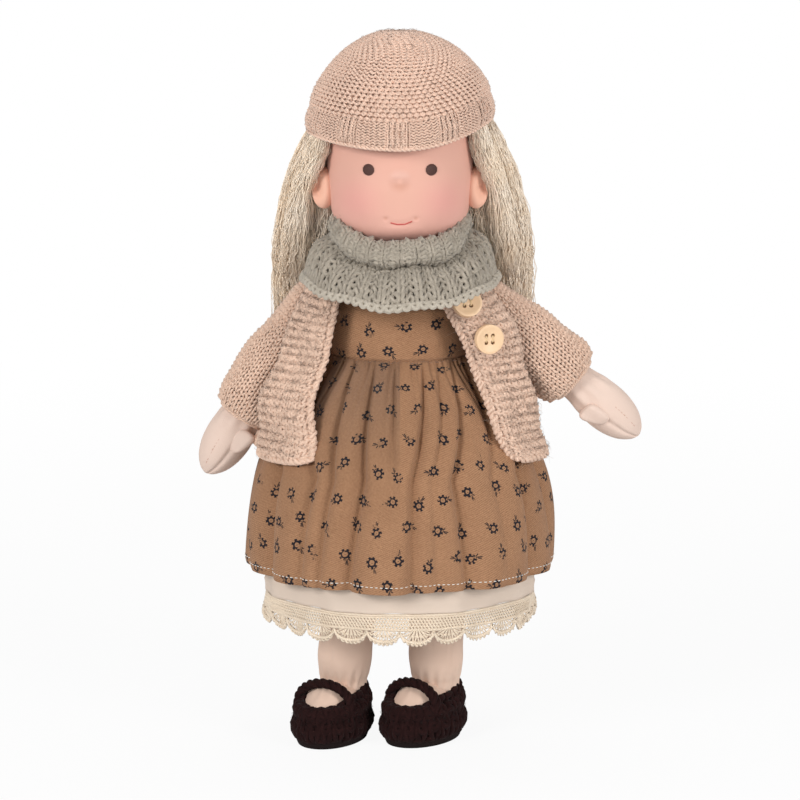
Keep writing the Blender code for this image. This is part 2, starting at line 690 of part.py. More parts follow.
leg_right, foot_right, shoe_right, strap_right = add_leg("right", -1, RIGHT_ANKLE_OFFSET, RIGHT_TOE_TURN)
leg_left, foot_left, shoe_left, strap_left = add_leg("left", 1, LEFT_ANKLE_OFFSET, LEFT_TOE_TURN)

make_room(torso, leg_right, leg_left)
for armhole in armholes:
    combine(torso, armhole)


# Dress: a close bodice and a gathered skirt that springs out from the waist seam.
def body_size(height):
    """Half width and half depth of the stuffed torso at a height."""
    return between(TORSO_SHAPE, height)


def skirt_flare(height):
    """How far the skirt has opened, from 0 at the waist seam to 1 at the hem."""
    fallen = min(max((WAIST_HEIGHT - height) / (WAIST_HEIGHT - HEM_HEIGHT), 0.0), 1.0)
    return (1.0 - (1.0 - fallen) ** 3) ** 1.5


def dress_size(height):
    """Half width and half depth of the dress's outside, bodice or skirt."""
    if height >= WAIST_HEIGHT:
        under = height - BODICE_EASE - CLOTH
        wide, deep = body_size(height if under < SHOULDER_HEIGHT else under)
        return wide + BODICE_EASE + CLOTH, deep + BODICE_EASE + CLOTH
    wide, deep = body_size(WAIST_HEIGHT)
    waist_wide = wide + BODICE_EASE + CLOTH
    waist_deep = deep + BODICE_EASE + CLOTH
    flare = skirt_flare(height)
    return (
        waist_wide + (SKIRT_HALF_WIDTH - waist_wide) * flare,
        waist_deep + (SKIRT_HALF_DEPTH - waist_deep) * flare,
    )


BODICE_TOP = COWL_SEAT - FIT_GAP
bodice_heights = (
    WAIST_HEIGHT + FIT_GAP,
    WAIST_HEIGHT + (SHOULDER_HEIGHT - WAIST_HEIGHT) * 0.5,
    SHOULDER_HEIGHT,
    SHOULDER_HEIGHT + NECK_RISE * 0.20,
    SHOULDER_HEIGHT + NECK_RISE * 0.34,
    BODICE_TOP,
)
bodice = add_piece(
    "bodice",
    loft_mesh(
        "bodice",
        [oval(*dress_size(height), height, BODY_STEPS) for height in bodice_heights],
        start="open",
        end="open",
    ),
    DRESS_TAN,
)
give_wall(bodice, CLOTH)
for armhole in armholes:
    combine(bodice, armhole)


def fold_depth(height):
    """How deep the skirt's folds can be at a height."""
    return between(FOLD_DEPTHS, min((WAIST_HEIGHT - height) / (WAIST_HEIGHT - HEM_HEIGHT), 1.0))[0]


def fold_inward(angle, height):
    """How far the folds draw the skirt in at an angle from straight ahead."""
    fallen = (WAIST_HEIGHT - height) / (WAIST_HEIGHT - HEM_HEIGHT)
    total = 0.0
    for at_top, at_middle, at_hem, top, middle, low, width in SKIRT_FOLDS:
        places = ((0.0, at_top, top), (0.5, at_middle, middle), (1.0, at_hem, low))
        at, share = between(places, fallen)
        off = math.remainder(math.degrees(angle) - at, 360.0)
        half = width * (0.40 + 0.60 * smooth_share(fallen, 0.0, 0.9))
        total += share * math.exp(-((off / half) ** 2))
    return fold_depth(height) * min(total, 1.0)


def skirt_ring(height):
    """The skirt's outside at a height, drawn in along its folds."""
    wide, deep = dress_size(height)
    ring = []
    for i in range(SKIRT_STEPS):
        angle = math.tau * i / SKIRT_STEPS
        inward = fold_inward(angle, height)
        ring.append(Vector((
            (wide - inward) * math.sin(angle),
            -(deep - inward) * math.cos(angle),
            height,
        )))
    return ring


skirt_shares = (0.0, 0.05, 0.12, 0.22, 0.35, 0.50, 0.74, 1.0)
skirt = add_piece(
    "skirt",
    loft_mesh(
        "skirt",
        [skirt_ring(WAIST_HEIGHT + (HEM_HEIGHT - WAIST_HEIGHT) * share) for share in skirt_shares],
        start="open",
        end="open",
    ),
    DRESS_TAN,
)
give_wall(skirt, CLOTH)


# Petticoat: a plainer flared skirt under the dress, with lace round its hem.
def petticoat_size(height):
    """Half width and half depth of the petticoat's outside."""
    wide, deep = dress_size(max(height, HEM_HEIGHT))
    inward = fold_depth(height) + CLOTH + PETTICOAT_CLEARANCE
    body_wide, body_deep = body_size(height)
    least = BODICE_EASE + CLOTH
    return max(wide - inward, body_wide + least), max(deep - inward, body_deep + least)


def petticoat_ring(height):
    """The petticoat's outside at a height, with soft folds towards its hem."""
    wide, deep = petticoat_size(height)
    share = smooth_share(WAIST_HEIGHT - height, 0.0, WAIST_HEIGHT - PETTICOAT_HEM)
    ring = []
    for i in range(PETTICOAT_STEPS):
        angle = math.tau * i / PETTICOAT_STEPS
        fold = PETTICOAT_FOLD_DEPTH * share * (0.5 + 0.5 * math.cos(PETTICOAT_FOLDS * angle))
        ring.append(Vector((
            (wide - fold) * math.sin(angle),
            -(deep - fold) * math.cos(angle),
            height,
        )))
    return ring


PETTICOAT_TOP = WAIST_HEIGHT - PETTICOAT_TOP_DROP
petticoat_shares = (0.0, 0.08, 0.18, 0.30, 0.45, 0.70, 1.0)
petticoat = add_piece(
    "petticoat",
    loft_mesh(
        "petticoat",
        [petticoat_ring(PETTICOAT_TOP + (PETTICOAT_HEM - PETTICOAT_TOP) * share) for share in petticoat_shares],
        start="open",
        end="open",
    ),
    CREAM_COTTON,
)
give_wall(petticoat, CLOTH)


def lace_rings():
    """The lace, straight along its sewn edge and scalloped below."""
    steps = LACE_SCALLOPS * 3
    wide, deep = petticoat_size(PETTICOAT_HEM)
    top = []
    bottom = []
    for i in range(steps):
        angle = math.tau * i / steps
        fold = PETTICOAT_FOLD_DEPTH * (0.5 + 0.5 * math.cos(PETTICOAT_FOLDS * angle))
        scallop = LACE_SCALLOP_DEPTH * abs(math.sin(LACE_SCALLOPS * angle / 2))
        place = Vector(((wide - fold) * math.sin(angle), -(deep - fold) * math.cos(angle), 0.0))
        top.append(place + Vector((0.0, 0.0, PETTICOAT_HEM - FIT_GAP)))
        bottom.append(place + Vector((0.0, 0.0, PETTICOAT_HEM - LACE_DEPTH - scallop)))
    return [top, bottom]


lace = add_piece("lace_edging", loft_mesh("lace", lace_rings(), start="open", end="open"), LACE_CREAM)
give_wall(lace, LACE_THICKNESS)


# Cowl: a knitted tube, rolled under the chin, whose lower part lies over the shoulders as a cape.
def cowl_section():
    """Points round the knitted wall: radius, height, and shares of the front's droop and of the chin's dip."""
    roll = COWL_ROLL_TOP - COWL_SEAT
    cape = COWL_HALF_WIDTH - COWL_BORE
    return (
        (COWL_BORE * 0.97, COWL_SEAT, 0.0, 0.0),
        (COWL_BORE, COWL_SEAT + roll * 0.38, 0.0, 0.1),
        (COWL_BORE * 1.16, COWL_SEAT + roll * 0.80, 0.0, 0.8),
        (COWL_BORE + cape * 0.36, COWL_ROLL_TOP, 0.0, 1.0),
        (COWL_BORE + cape * 0.52, COWL_SEAT + roll * 0.86, 0.0, 0.9),
        (COWL_BORE + cape * 0.54, COWL_SEAT + roll * 0.60, 0.0, 0.4),
        (COWL_BORE + cape * 0.40, COWL_SEAT + roll * 0.40, 0.0, 0.0),
        (COWL_BORE + cape * 0.62, COWL_SEAT + roll * 0.28, 0.35, 0.0),
        (COWL_BORE + cape * 0.93, COWL_SEAT + COWL_CAPE_THICKNESS * 0.90, 0.85, 0.0),
        (COWL_HALF_WIDTH, COWL_SEAT + COWL_CAPE_THICKNESS * 0.30, 1.0, 0.0),
        (COWL_BORE + cape * 0.93, COWL_SEAT - COWL_CAPE_THICKNESS * 0.10, 0.85, 0.0),
        (COWL_BORE + cape * 0.62, COWL_SEAT + COWL_CAPE_THICKNESS * 0.10, 0.35, 0.0),
    )


def cowl_mesh():
    """The section carried round the neck, lower at the front and back than over the arms."""
    steps = BODY_STEPS + 4
    rings = []
    for radius, height, droop, dip in cowl_section():
        ring = []
        for i in range(steps):
            angle = math.tau * i / steps
            drop = COWL_FRONT_DROP * droop * math.cos(angle) ** 2
            drop += COWL_CHIN_DIP * dip * max(math.cos(angle), 0.0) ** 2
            ring.append(Vector((
                radius * math.sin(angle),
                -radius * COWL_DEPTH_SHARE * math.cos(angle) - COWL_FORWARD,
                height - drop,
            )))
        rings.append(ring)
    rings.append(rings[0])
    mesh = loft_mesh("cowl", rings, start="open", end="open")
    bm = bmesh.new()
    bm.from_mesh(mesh)
    bmesh.ops.remove_doubles(bm, verts=bm.verts[:], dist=0.00001)
    bmesh.ops.recalc_face_normals(bm, faces=bm.faces[:])
    bm.to_mesh(mesh)
    bm.free()
    return mesh


cowl = add_piece("cowl", cowl_mesh(), SAGE_WOOL)
cowl_room = grown(cowl, FIT_GAP)


# Cardigan: a back and two open fronts, hemmed over the skirt and cut away at the armholes.
def cardigan_size(height, front):
    """Half width, half depth and squareness of the cardigan's outside."""
    lift = KNIT / 2 + (KNIT / 2 + FIT_GAP) * smooth_share(height, WAIST_HEIGHT, SHOULDER_HEIGHT)
    wide, deep = dress_size(height - lift)
    chest = smooth_share(height, WAIST_HEIGHT - SIDE_SEAM_FORWARD, WAIST_HEIGHT + CHEST_EASE)
    ease = FIT_GAP + KNIT + CHEST_EASE * chest
    flap = 0.0
    if front:
        rise = (height - CARDIGAN_HEM) / (CARDIGAN_TOP - CARDIGAN_HEM)
        flap = FLAP_EASE * smooth_share(rise, *FLAP_FOOT_SHARES) * (1.0 - smooth_share(rise, *FLAP_HEAD_SHARES))
    return wide + ease + flap, deep + ease, 2.0 + 0.8 * smooth_share(height, CARDIGAN_HEM, WAIST_HEIGHT)


def cardigan_point(height, angle, front):
    """A point on the cardigan's outside, by its angle from straight ahead."""
    wide, deep, power = cardigan_size(height, front)
    across = math.copysign(abs(math.sin(angle)) ** (2.0 / power), math.sin(angle))
    along = math.copysign(abs(math.cos(angle)) ** (2.0 / power), math.cos(angle))
    return Vector((wide * across, -deep * along, height))


def seam_angle(height, front, past):
    """The angle at which a front or the back has gone some way past the side seam."""
    deep, power = cardigan_size(height, front)[1:]
    share = max(SIDE_SEAM_FORWARD - past, 0.0) / deep
    return math.acos(share ** (power / 2.0))


def seam_block(name, side_y, behind):
    """A block that takes away all behind, or all before, the side seams."""
    size = (CARDIGAN_TOP - CARDIGAN_HEM + CUT_OVERRUN) * 2
    bm = bmesh.new()
    bmesh.ops.create_cube(bm, size=size)
    middle = side_y + size / 2 if behind else side_y - size / 2
    bm.transform(Matrix.Translation((0.0, middle, (CARDIGAN_TOP + CARDIGAN_HEM) / 2)))
    mesh = bpy.data.meshes.new(name)
    bm.to_mesh(mesh)
    bm.free()
    return tool_mesh(name, mesh)


def opening_angle(side, height):
    """The angle of a front edge, which leans as the cardigan hangs open."""
    rise = (height - CARDIGAN_HEM) / (CARDIGAN_TOP - CARDIGAN_HEM)
    if side > 0:
        return LEFT_OPENING_HEM + (LEFT_OPENING_TOP - LEFT_OPENING_HEM) * rise
    return RIGHT_OPENING_HEM + (RIGHT_OPENING_TOP - RIGHT_OPENING_HEM) * rise


cardigan_shares = (0.0, 0.10, 0.22, 0.34, 0.46, 0.56, 0.70, 0.84, 0.93, 1.0)


def panel_height(share, angle):
    """The height of a row of the cardigan, whose top edge dips under the cowl's front."""
    top = CARDIGAN_TOP - COWL_FRONT_DROP * CARDIGAN_DIP_SHARE * math.cos(angle) ** 2
    return CARDIGAN_HEM + (top - CARDIGAN_HEM) * share


def front_mesh(side):
    """One front, from its open edge to the side seam."""
    rings = []
    across = 7
    for share in cardigan_shares:
        start = opening_angle(side, panel_height(share, 0.0))
        stop = seam_angle(panel_height(share, math.pi / 2), True, KNIT)
        angles = [start + (stop - start) * i / (across - 1) for i in range(across)]
        rings.append([cardigan_point(panel_height(share, angle), side * angle, True) for angle in angles])
    return loft_mesh("cardigan_front", rings, start="open", end="open", closed=False)


def back_mesh():
    """The back, from one side seam round behind to the other."""
    rings = []
    across = 21
    for share in cardigan_shares:
        seam = seam_angle(panel_height(share, math.pi / 2), False, -KNIT)
        angles = [seam + (math.tau - 2 * seam) * i / (across - 1) for i in range(across)]
        rings.append([cardigan_point(panel_height(share, angle), angle, False) for angle in angles])
    return loft_mesh("cardigan_back", rings, start="open", end="open", closed=False)


behind_seams = seam_block("behind_seams", -SIDE_SEAM_FORWARD - FIT_GAP / 2, True)
before_seams = seam_block("before_seams", -SIDE_SEAM_FORWARD + FIT_GAP / 2, False)


def add_cardigan_panel(name, mesh, past_seam):
    """A knitted panel with its wall, ended at the side seams."""
    panel = add_piece(name, mesh, BEIGE_WOOL, stand, 0.95)
    give_wall(panel, KNIT)
    combine(panel, past_seam)
    return panel


cardigan_front_right = add_cardigan_panel("cardigan_front_right", front_mesh(-1), behind_seams)
cardigan_front_left = add_cardigan_panel("cardigan_front_left", front_mesh(1), behind_seams)
cardigan_back = add_cardigan_panel("cardigan_back", back_mesh(), before_seams)
for armhole in armholes:
    combine(cardigan_back, armhole)


# Buttons: turned discs with a rim, a dished face and four holes.
def button_mesh():
    """A button lying on Z = 0 with its face up."""
    dish = BUTTON_RADIUS - BUTTON_RIM
    return turned_mesh("button", [
        (0.0, BUTTON_THICKNESS - BUTTON_DISH),
        (dish * 0.80, BUTTON_THICKNESS - BUTTON_DISH),
        (dish, BUTTON_THICKNESS - BUTTON_DISH * 0.3),
        (BUTTON_RADIUS - BUTTON_RIM * 0.6, BUTTON_THICKNESS),
        (BUTTON_RADIUS, BUTTON_THICKNESS * 0.72),
        (BUTTON_RADIUS, BUTTON_THICKNESS * 0.40),
        (BUTTON_RADIUS * 0.80, 0.0),
        (0.0, 0.0),
    ], SMALL_STEPS + 4)


def hole_mesh():
    """The four thread holes, as one cutter of four rods."""
    bm = bmesh.new()
    for across in (-1, 1):
        for up in (-1, 1):
            place = Matrix.Translation((
                across * BUTTON_HOLE_SPACING / 2,
                up * BUTTON_HOLE_SPACING / 2,
                BUTTON_THICKNESS / 2,
            ))
            bmesh.ops.create_cone(
                bm,
                cap_ends=True,
                segments=6,
                radius1=BUTTON_HOLE_RADIUS,
                radius2=BUTTON_HOLE_RADIUS,
                depth=BUTTON_THICKNESS + CUT_OVERRUN,
                matrix=place,
            )
    mesh = bpy.data.meshes.new("holes")
    bm.to_mesh(mesh)
    bm.free()
    return mesh


def add_button(name, height):
    """A button sewn to the left front beside its edge."""
    angle = opening_angle(1, height) + BUTTON_FROM_EDGE
    seat = cardigan_point(height, angle, True)
    ahead = cardigan_point(height, angle + BUTTON_FROM_EDGE / 8, True) - seat
    above = cardigan_point(height + BUTTON_RADIUS / 2, angle, True) - seat
    facing = ahead.cross(above).normalized()
    if facing.y > 0:
        facing.negate()
    button = add_piece(name, button_mesh(), BUTTON_CREAM, stand, 0.35)
    button.location = seat + facing * FIT_GAP
    button.rotation_euler = facing.to_track_quat("Z", "Y").to_euler()
    bpy.context.view_layer.update()
    combine(button, tool_mesh("holes_" + name, hole_mesh(), button.matrix_world))
    return button


button_lower = add_button("button_lower", LOWER_BUTTON_HEIGHT)
button_upper = add_button("button_upper", LOWER_BUTTON_HEIGHT + BUTTON_SPACING)
for button in (button_lower, button_upper):
    make_room(cardigan_front_left, button)
make_room(cowl, button_upper)


# Head: a firm stuffed ball with full cheeks and a small nose.
HEAD_SHAPE_SHARES = (
    (0.000, 0.37), (0.035, 0.54), (0.068, 0.67), (0.107, 0.78), (0.160, 0.865), (0.225, 0.937),
    (0.320, 0.985), (0.435, 1.000), (0.565, 0.982), (0.695, 0.920), (0.800, 0.815), (0.890, 0.645),
    (0.955, 0.425), (0.990, 0.200), (1.000, 0.000),
)


def head_mesh():
    """The turned head, deeper than it is wide."""
    profile = [
        (HEAD_HALF_WIDTH * share, HEAD_FOOT + HEAD_HEIGHT * rise)
        for rise, share in reversed(HEAD_SHAPE_SHARES)
    ]
    profile.append((0.0, HEAD_FOOT))
    mesh = turned_mesh("head", profile, BODY_STEPS + 4)
    mesh.transform(Matrix.Diagonal((1.0, HEAD_HALF_DEPTH / HEAD_HALF_WIDTH, 1.0, 1.0)))
    return mesh


def face_point(across, rise):
    """A point on the front of the face."""
    share = between(HEAD_SHAPE_SHARES, rise / HEAD_HEIGHT)[0]
    radius = HEAD_HALF_WIDTH * share
    out = math.sqrt(radius * radius - across * across) * HEAD_HALF_DEPTH / HEAD_HALF_WIDTH
    return Vector((across, -out - HEAD_FORWARD, HEAD_FOOT + rise))


neck = pivot("neck", (0.0, 0.0, HEAD_FOOT))
head_shape = head_mesh()
head_shape.transform(Matrix.Translation((0.0, -HEAD_FORWARD, -HEAD_FOOT)))
head = add_piece("head", head_shape, SKIN_FACE, neck, 0.75)
bpy.context.view_layer.update()
nose = ball_mesh("nose", face_point(0.0, NOSE_RISE), (NOSE_RADIUS, NOSE_RADIUS, NOSE_RADIUS))
combine(head, tool_mesh("nose", nose), "UNION")


def add_on_head(name, mesh, colour, roughness=0.85):
    """A piece that turns with the head, built where it stands."""
    mesh.transform(Matrix.Translation((0.0, 0.0, -HEAD_FOOT)))
    piece = add_piece(name, mesh, colour, neck, roughness)
    bpy.context.view_layer.update()
    return piece


def add_eye(name, side):
    """A flat embroidered dot."""
    place = face_point(side * EYE_SPACING / 2, EYE_RISE)
    turn = math.atan2(place.x, -place.y)
    mesh = ball_mesh(name, place, (EYE_RADIUS, EYE_BULGE, EYE_RADIUS), SMALL_STEPS, turn)
    return make_room(add_on_head(name, mesh, DARK_BROWN, 0.6), head, gap=FIT_GAP / 2)


def add_ear(name, side):
    """A stuffed ear with a pressed-in hollow."""
    place = Vector((side * EAR_OUT, -EAR_FORWARD, HEAD_FOOT + EAR_RISE))
    mesh = ball_mesh(name, place, (EAR_HALF_THICKNESS, EAR_HALF_DEPTH, EAR_HALF_HEIGHT))
    ear = add_on_head(name, mesh, SKIN_FACE, 0.75)
    hollow = ball_mesh(
        "ear_hollow",
        place + Vector((side * EAR_HALF_THICKNESS, -EAR_HALF_DEPTH * 0.35, 0.0)),
        (EAR_HOLLOW_RADIUS * 0.7, EAR_HOLLOW_RADIUS, EAR_HOLLOW_RADIUS * 1.4),
        12,
    )
    combine(ear, tool_mesh("ear_hollow", hollow))
    return make_room(ear, head)


eye_right = add_eye("eye_right", -1)
eye_left = add_eye("eye_left", 1)
ear_right = add_ear("ear_right", -1)
ear_left = add_ear("ear_left", 1)


# Hair: a sewn cap of yarn over the scalp, two side locks and a fall down the back.
scalp_room = grown(head, FIT_GAP)
cap_outside = grown(head, FIT_GAP + HAIR_CAP_THICKNESS)
hair_cap = add_on_head("hair_cap", cap_outside.data.copy(), HAIR_BLOND)
hair_cap.data.transform(Matrix.Translation((0.0, 0.0, HEAD_FOOT)))
combine(hair_cap, scalp_room)

hairline_front = Vector((0.0, -HEAD_HALF_DEPTH - HEAD_FORWARD, HEAD_FOOT + HAIRLINE_FRONT_RISE))
hairline_back = Vector((0.0, HEAD_HALF_DEPTH * 0.65, HEAD_FOOT + HAIRLINE_BACK_RISE))
hairline_slope = math.atan2(hairline_front.z - hairline_back.z, hairline_back.y - hairline_front.y)
bare_face = bmesh.new()
bmesh.ops.create_cube(bare_face, size=1.0)
bare_size = HEAD_HEIGHT * 3
bare_face.transform(
    Matrix.Translation((hairline_front + hairline_back) / 2)
    @ Matrix.Rotation(-hairline_slope, 4, "X")
    @ Matrix.Translation((0.0, 0.0, -bare_size / 2))
    @ Matrix.Scale(bare_size, 4)
)
bare_mesh = bpy.data.meshes.new("bare_face")
bare_face.to_mesh(bare_mesh)
bare_face.free()
combine(hair_cap, tool_mesh("bare_face", bare_mesh))
make_room(hair_cap, ear_right, ear_left)


def hair_rings(rows):
    """Level ovals down a lock, from rows of height, place and half sizes."""
    return [oval(wide, deep, height, SMALL_STEPS, (x, y)) for height, x, y, wide, deep in rows]


def side_lock_rows(side):
    """A side lock: out from under the hat, past the ear, behind the shoulder and down."""
    top = HAT_EDGE_SIDE - FIT_GAP - HAT_EDGE_BACK_DROP * 0.4
    fall = top - HAIR_ENDS_HEIGHT
    wide = HAIR_LOCK_HALF_WIDTH
    deep = HAIR_LOCK_HALF_DEPTH
    out = side * (LEFT_LOCK_OUT if side > 0 else RIGHT_LOCK_OUT)
    behind = SLEEVE_PUFF_RADIUS + deep + FIT_GAP * 3
    return (
        (top, out * 0.74, deep * 0.75, wide * 0.42, deep),
        (top - fall * 0.16, out * 0.86, deep * 0.95, wide * 0.74, deep * 1.1),
        (top - fall * 0.32, out * 0.96, deep * 1.35, wide * 0.92, deep * 1.1),
        (top - fall * 0.48, out, behind - deep * 0.4, wide, deep * 1.05),
        (top - fall * 0.60, out, behind, wide, deep),
        (top - fall * 0.80, out * 0.99, behind + deep * 0.15, wide * 0.98, deep * 0.95),
        (top - fall, out * 0.95, behind + deep * 0.2, wide * 0.80, deep * 0.70),
    )


def back_fall_rows():
    """The fall behind: down the back of the head and over the cardigan."""
    top = HAT_EDGE_SIDE - FIT_GAP * 2 - HAT_EDGE_BACK_DROP
    deep = HAIR_BACK_HALF_DEPTH
    wide = HAIR_BACK_HALF_WIDTH
    head_back = HEAD_HALF_DEPTH - HEAD_FORWARD + HAIR_CAP_THICKNESS * 0.4
    cape_back = COWL_HALF_WIDTH * COWL_DEPTH_SHARE - COWL_FORWARD
    return (
        (top, 0.0, head_back, wide * 0.72, deep * 0.7),
        (top - HEAD_HEIGHT * 0.2, 0.0, head_back + deep * 0.3, wide * 0.84, deep),
        (COWL_ROLL_TOP, 0.0, head_back + deep * 0.7, wide * 0.90, deep),
        (COWL_SEAT + COWL_CAPE_THICKNESS, 0.0, cape_back + deep * 0.8, wide * 0.94, deep),
        (COWL_SEAT - COWL_FRONT_DROP * 2, 0.0, cape_back + deep * 0.6, wide * 0.98, deep),
        (HAIR_ENDS_HEIGHT, 0.0, cape_back + deep * 0.2, wide, deep * 0.8),
    )


def add_lock(name, rows):
    """A lock of hair, clear of everything it hangs against."""
    lock = add_on_head(name, loft_mesh(name, hair_rings(rows)), HAIR_BLOND)
    combine(lock, cap_room)
    combine(lock, cowl_room)
    make_room(lock, ear_right, ear_left, cardigan_back)
    return lock


cap_room = grown(head, FIT_GAP * 2 + HAIR_CAP_THICKNESS)
hair_right = add_lock("hair_right", side_lock_rows(-1))
hair_left = add_lock("hair_left", side_lock_rows(1))
hair_back = add_lock("hair_back", back_fall_rows())
make_room(hair_back, hair_right, hair_left)


# Hat: a knitted crown gathered at the top, and a ribbed brim.
def hat_edge(angle):
    """The brim's lower edge, which rises over the ears."""
    ahead = math.cos(angle)
    drop = HAT_EDGE_FRONT_DROP if ahead > 0 else HAT_EDGE_BACK_DROP
    return HAT_EDGE_SIDE - drop * ahead * ahead


HAT_CROWN_SHARES = (
    (0.00, 0.945), (0.12, 0.945), (0.30, 0.870), (0.50, 0.750), (0.70, 0.590), (0.85, 0.410),
    (0.955, 0.230), (0.992, 0.080),
)


def hat_ring(rise_share, size_share):
    """A ring of the crown at a share of the way from the brim to the top."""
    steps = BODY_STEPS + 4
    ring = []
    for i in range(steps):
        angle = math.tau * i / steps
        foot = hat_edge(angle) + HAT_BRIM_HEIGHT + FIT_GAP
        ring.append(Vector((
            HAT_HALF_WIDTH * size_share * math.sin(angle),
            -HAT_HALF_DEPTH * size_share * math.cos(angle) - HEAD_FORWARD,
            foot + (HAT_TOP - foot) * rise_share,
        )))
    return ring


def brim_mesh():
    """A thick ring whose lower edge follows the head."""
    steps = BODY_STEPS + 4
    outer = HAT_BRIM_STANDOUT
    inner = HAT_BRIM_STANDOUT - HAT_BRIM_WALL
    section = ((outer * 0.4, 0.0), (outer, 0.2), (outer, 0.8), (outer * 0.4, 1.0), (inner, 1.0), (inner, 0.0))
    rings = []
    for outward, rise in section + section[:1]:
        ring = []
        for i in range(steps):
            angle = math.tau * i / steps
            ring.append(Vector((
                (HAT_HALF_WIDTH + outward) * math.sin(angle),
                -(HAT_HALF_DEPTH + outward) * math.cos(angle) - HEAD_FORWARD,
                hat_edge(angle) + HAT_BRIM_HEIGHT * rise,
            )))
        rings.append(ring)
    mesh = loft_mesh("hat_brim", rings, start="open", end="open")
    bm = bmesh.new()
    bm.from_mesh(mesh)
    bmesh.ops.remove_doubles(bm, verts=bm.verts[:], dist=0.00001)
    bmesh.ops.recalc_face_normals(bm, faces=bm.faces[:])
    bm.to_mesh(mesh)
    bm.free()
    return mesh


hat_crown = add_on_head(
    "hat_crown",
    loft_mesh("hat_crown", [hat_ring(*row) for row in HAT_CROWN_SHARES], start="open", end="point"),
    BEIGE_WOOL,
    0.95,
)
give_wall(hat_crown, HAT_WALL)
hat_brim = add_on_head("hat_brim", brim_mesh(), BEIGE_WOOL, 0.95)
make_room(hat_crown, hair_cap)
make_room(hat_brim, hair_cap)

# The doll stands with its outline centred on the origin
bpy.context.view_layer.update()
places = [
    piece.matrix_world @ vertex.co
    for piece in doll.objects
    if piece.type == "MESH"
    for vertex in piece.data.vertices
]
stand.location.x = -(min(place.x for place in places) + max(place.x for place in places)) / 2
stand.location.y = -(min(place.y for place in places) + max(place.y for place in places)) / 2
bpy.context.view_layer.update()
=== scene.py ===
"""Looks of the standing waldorf doll: stuffed body, gathered dress, knitted clothes and mohair."""

import json
import math

import bpy
import numpy as np
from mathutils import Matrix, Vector


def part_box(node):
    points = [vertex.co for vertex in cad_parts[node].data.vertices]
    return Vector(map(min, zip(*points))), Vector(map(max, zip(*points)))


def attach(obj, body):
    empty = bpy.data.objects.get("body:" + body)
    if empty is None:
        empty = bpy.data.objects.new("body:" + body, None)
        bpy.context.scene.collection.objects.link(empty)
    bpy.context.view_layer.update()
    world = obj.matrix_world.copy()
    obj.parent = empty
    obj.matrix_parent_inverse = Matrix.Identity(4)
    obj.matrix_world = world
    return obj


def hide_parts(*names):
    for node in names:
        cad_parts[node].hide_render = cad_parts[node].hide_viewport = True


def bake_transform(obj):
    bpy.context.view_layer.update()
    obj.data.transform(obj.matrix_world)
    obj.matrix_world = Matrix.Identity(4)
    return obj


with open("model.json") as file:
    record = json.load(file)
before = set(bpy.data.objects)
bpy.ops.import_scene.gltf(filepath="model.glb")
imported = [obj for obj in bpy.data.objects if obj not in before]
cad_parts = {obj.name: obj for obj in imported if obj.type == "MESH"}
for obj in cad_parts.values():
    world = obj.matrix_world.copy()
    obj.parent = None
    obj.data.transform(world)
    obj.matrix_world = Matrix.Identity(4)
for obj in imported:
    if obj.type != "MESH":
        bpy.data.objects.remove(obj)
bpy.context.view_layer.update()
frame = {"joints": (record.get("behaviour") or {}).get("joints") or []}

# Floor, lamps and camera: white card under soft studio light, and a long lens a metre away that looks down
# by ten degrees at the middle of the doll.
neck = np.array(frame["joints"][0]["pos_m"])
middle = np.array([neck[0], neck[1], 0.0])
scene = bpy.context.scene
scene.view_settings.view_transform = "Standard"

bpy.ops.object.select_all(action="DESELECT")
bpy.ops.mesh.primitive_plane_add(size=8.0, location=(0.0, 0.0, 0.0))
floor = bpy.context.object
floor.name = "floor"


class Field:
    """A number or colour that changes over a surface: a node's socket. Sums on it add Math nodes."""

    def __init__(self, finish, socket):
        self.finish = finish
        self.socket = socket

    def math(self, operation, *others, turned=False):
        values = [self, *others]
        if turned:
            values.reverse()
        return self.finish.node("ShaderNodeMath", {"operation": operation}, dict(enumerate(values)))

    def __add__(self, other):
        return self.math("ADD", other)

    def __sub__(self, other):
        return self.math("SUBTRACT", other)

    def __rsub__(self, other):
        return self.math("SUBTRACT", other, turned=True)

    def __mul__(self, other):
        return self.math("MULTIPLY", other)

    def __truediv__(self, other):
        return self.math("DIVIDE", other)

    def __pow__(self, other):
        return self.math("POWER", other)

    def __abs__(self):
        return self.math("ABSOLUTE")

    __radd__ = __add__
    __rmul__ = __mul__

    def below(self, edge, soft):
        """1 where the number is under an edge, 0 over it, with a soft step between."""
        return self.finish.node(
            "ShaderNodeMapRange",
            {"interpolation_type": "SMOOTHSTEP"},
            {"Value": self, "From Min": edge - soft, "From Max": edge + soft, "To Min": 1.0, "To Max": 0.0},
        )


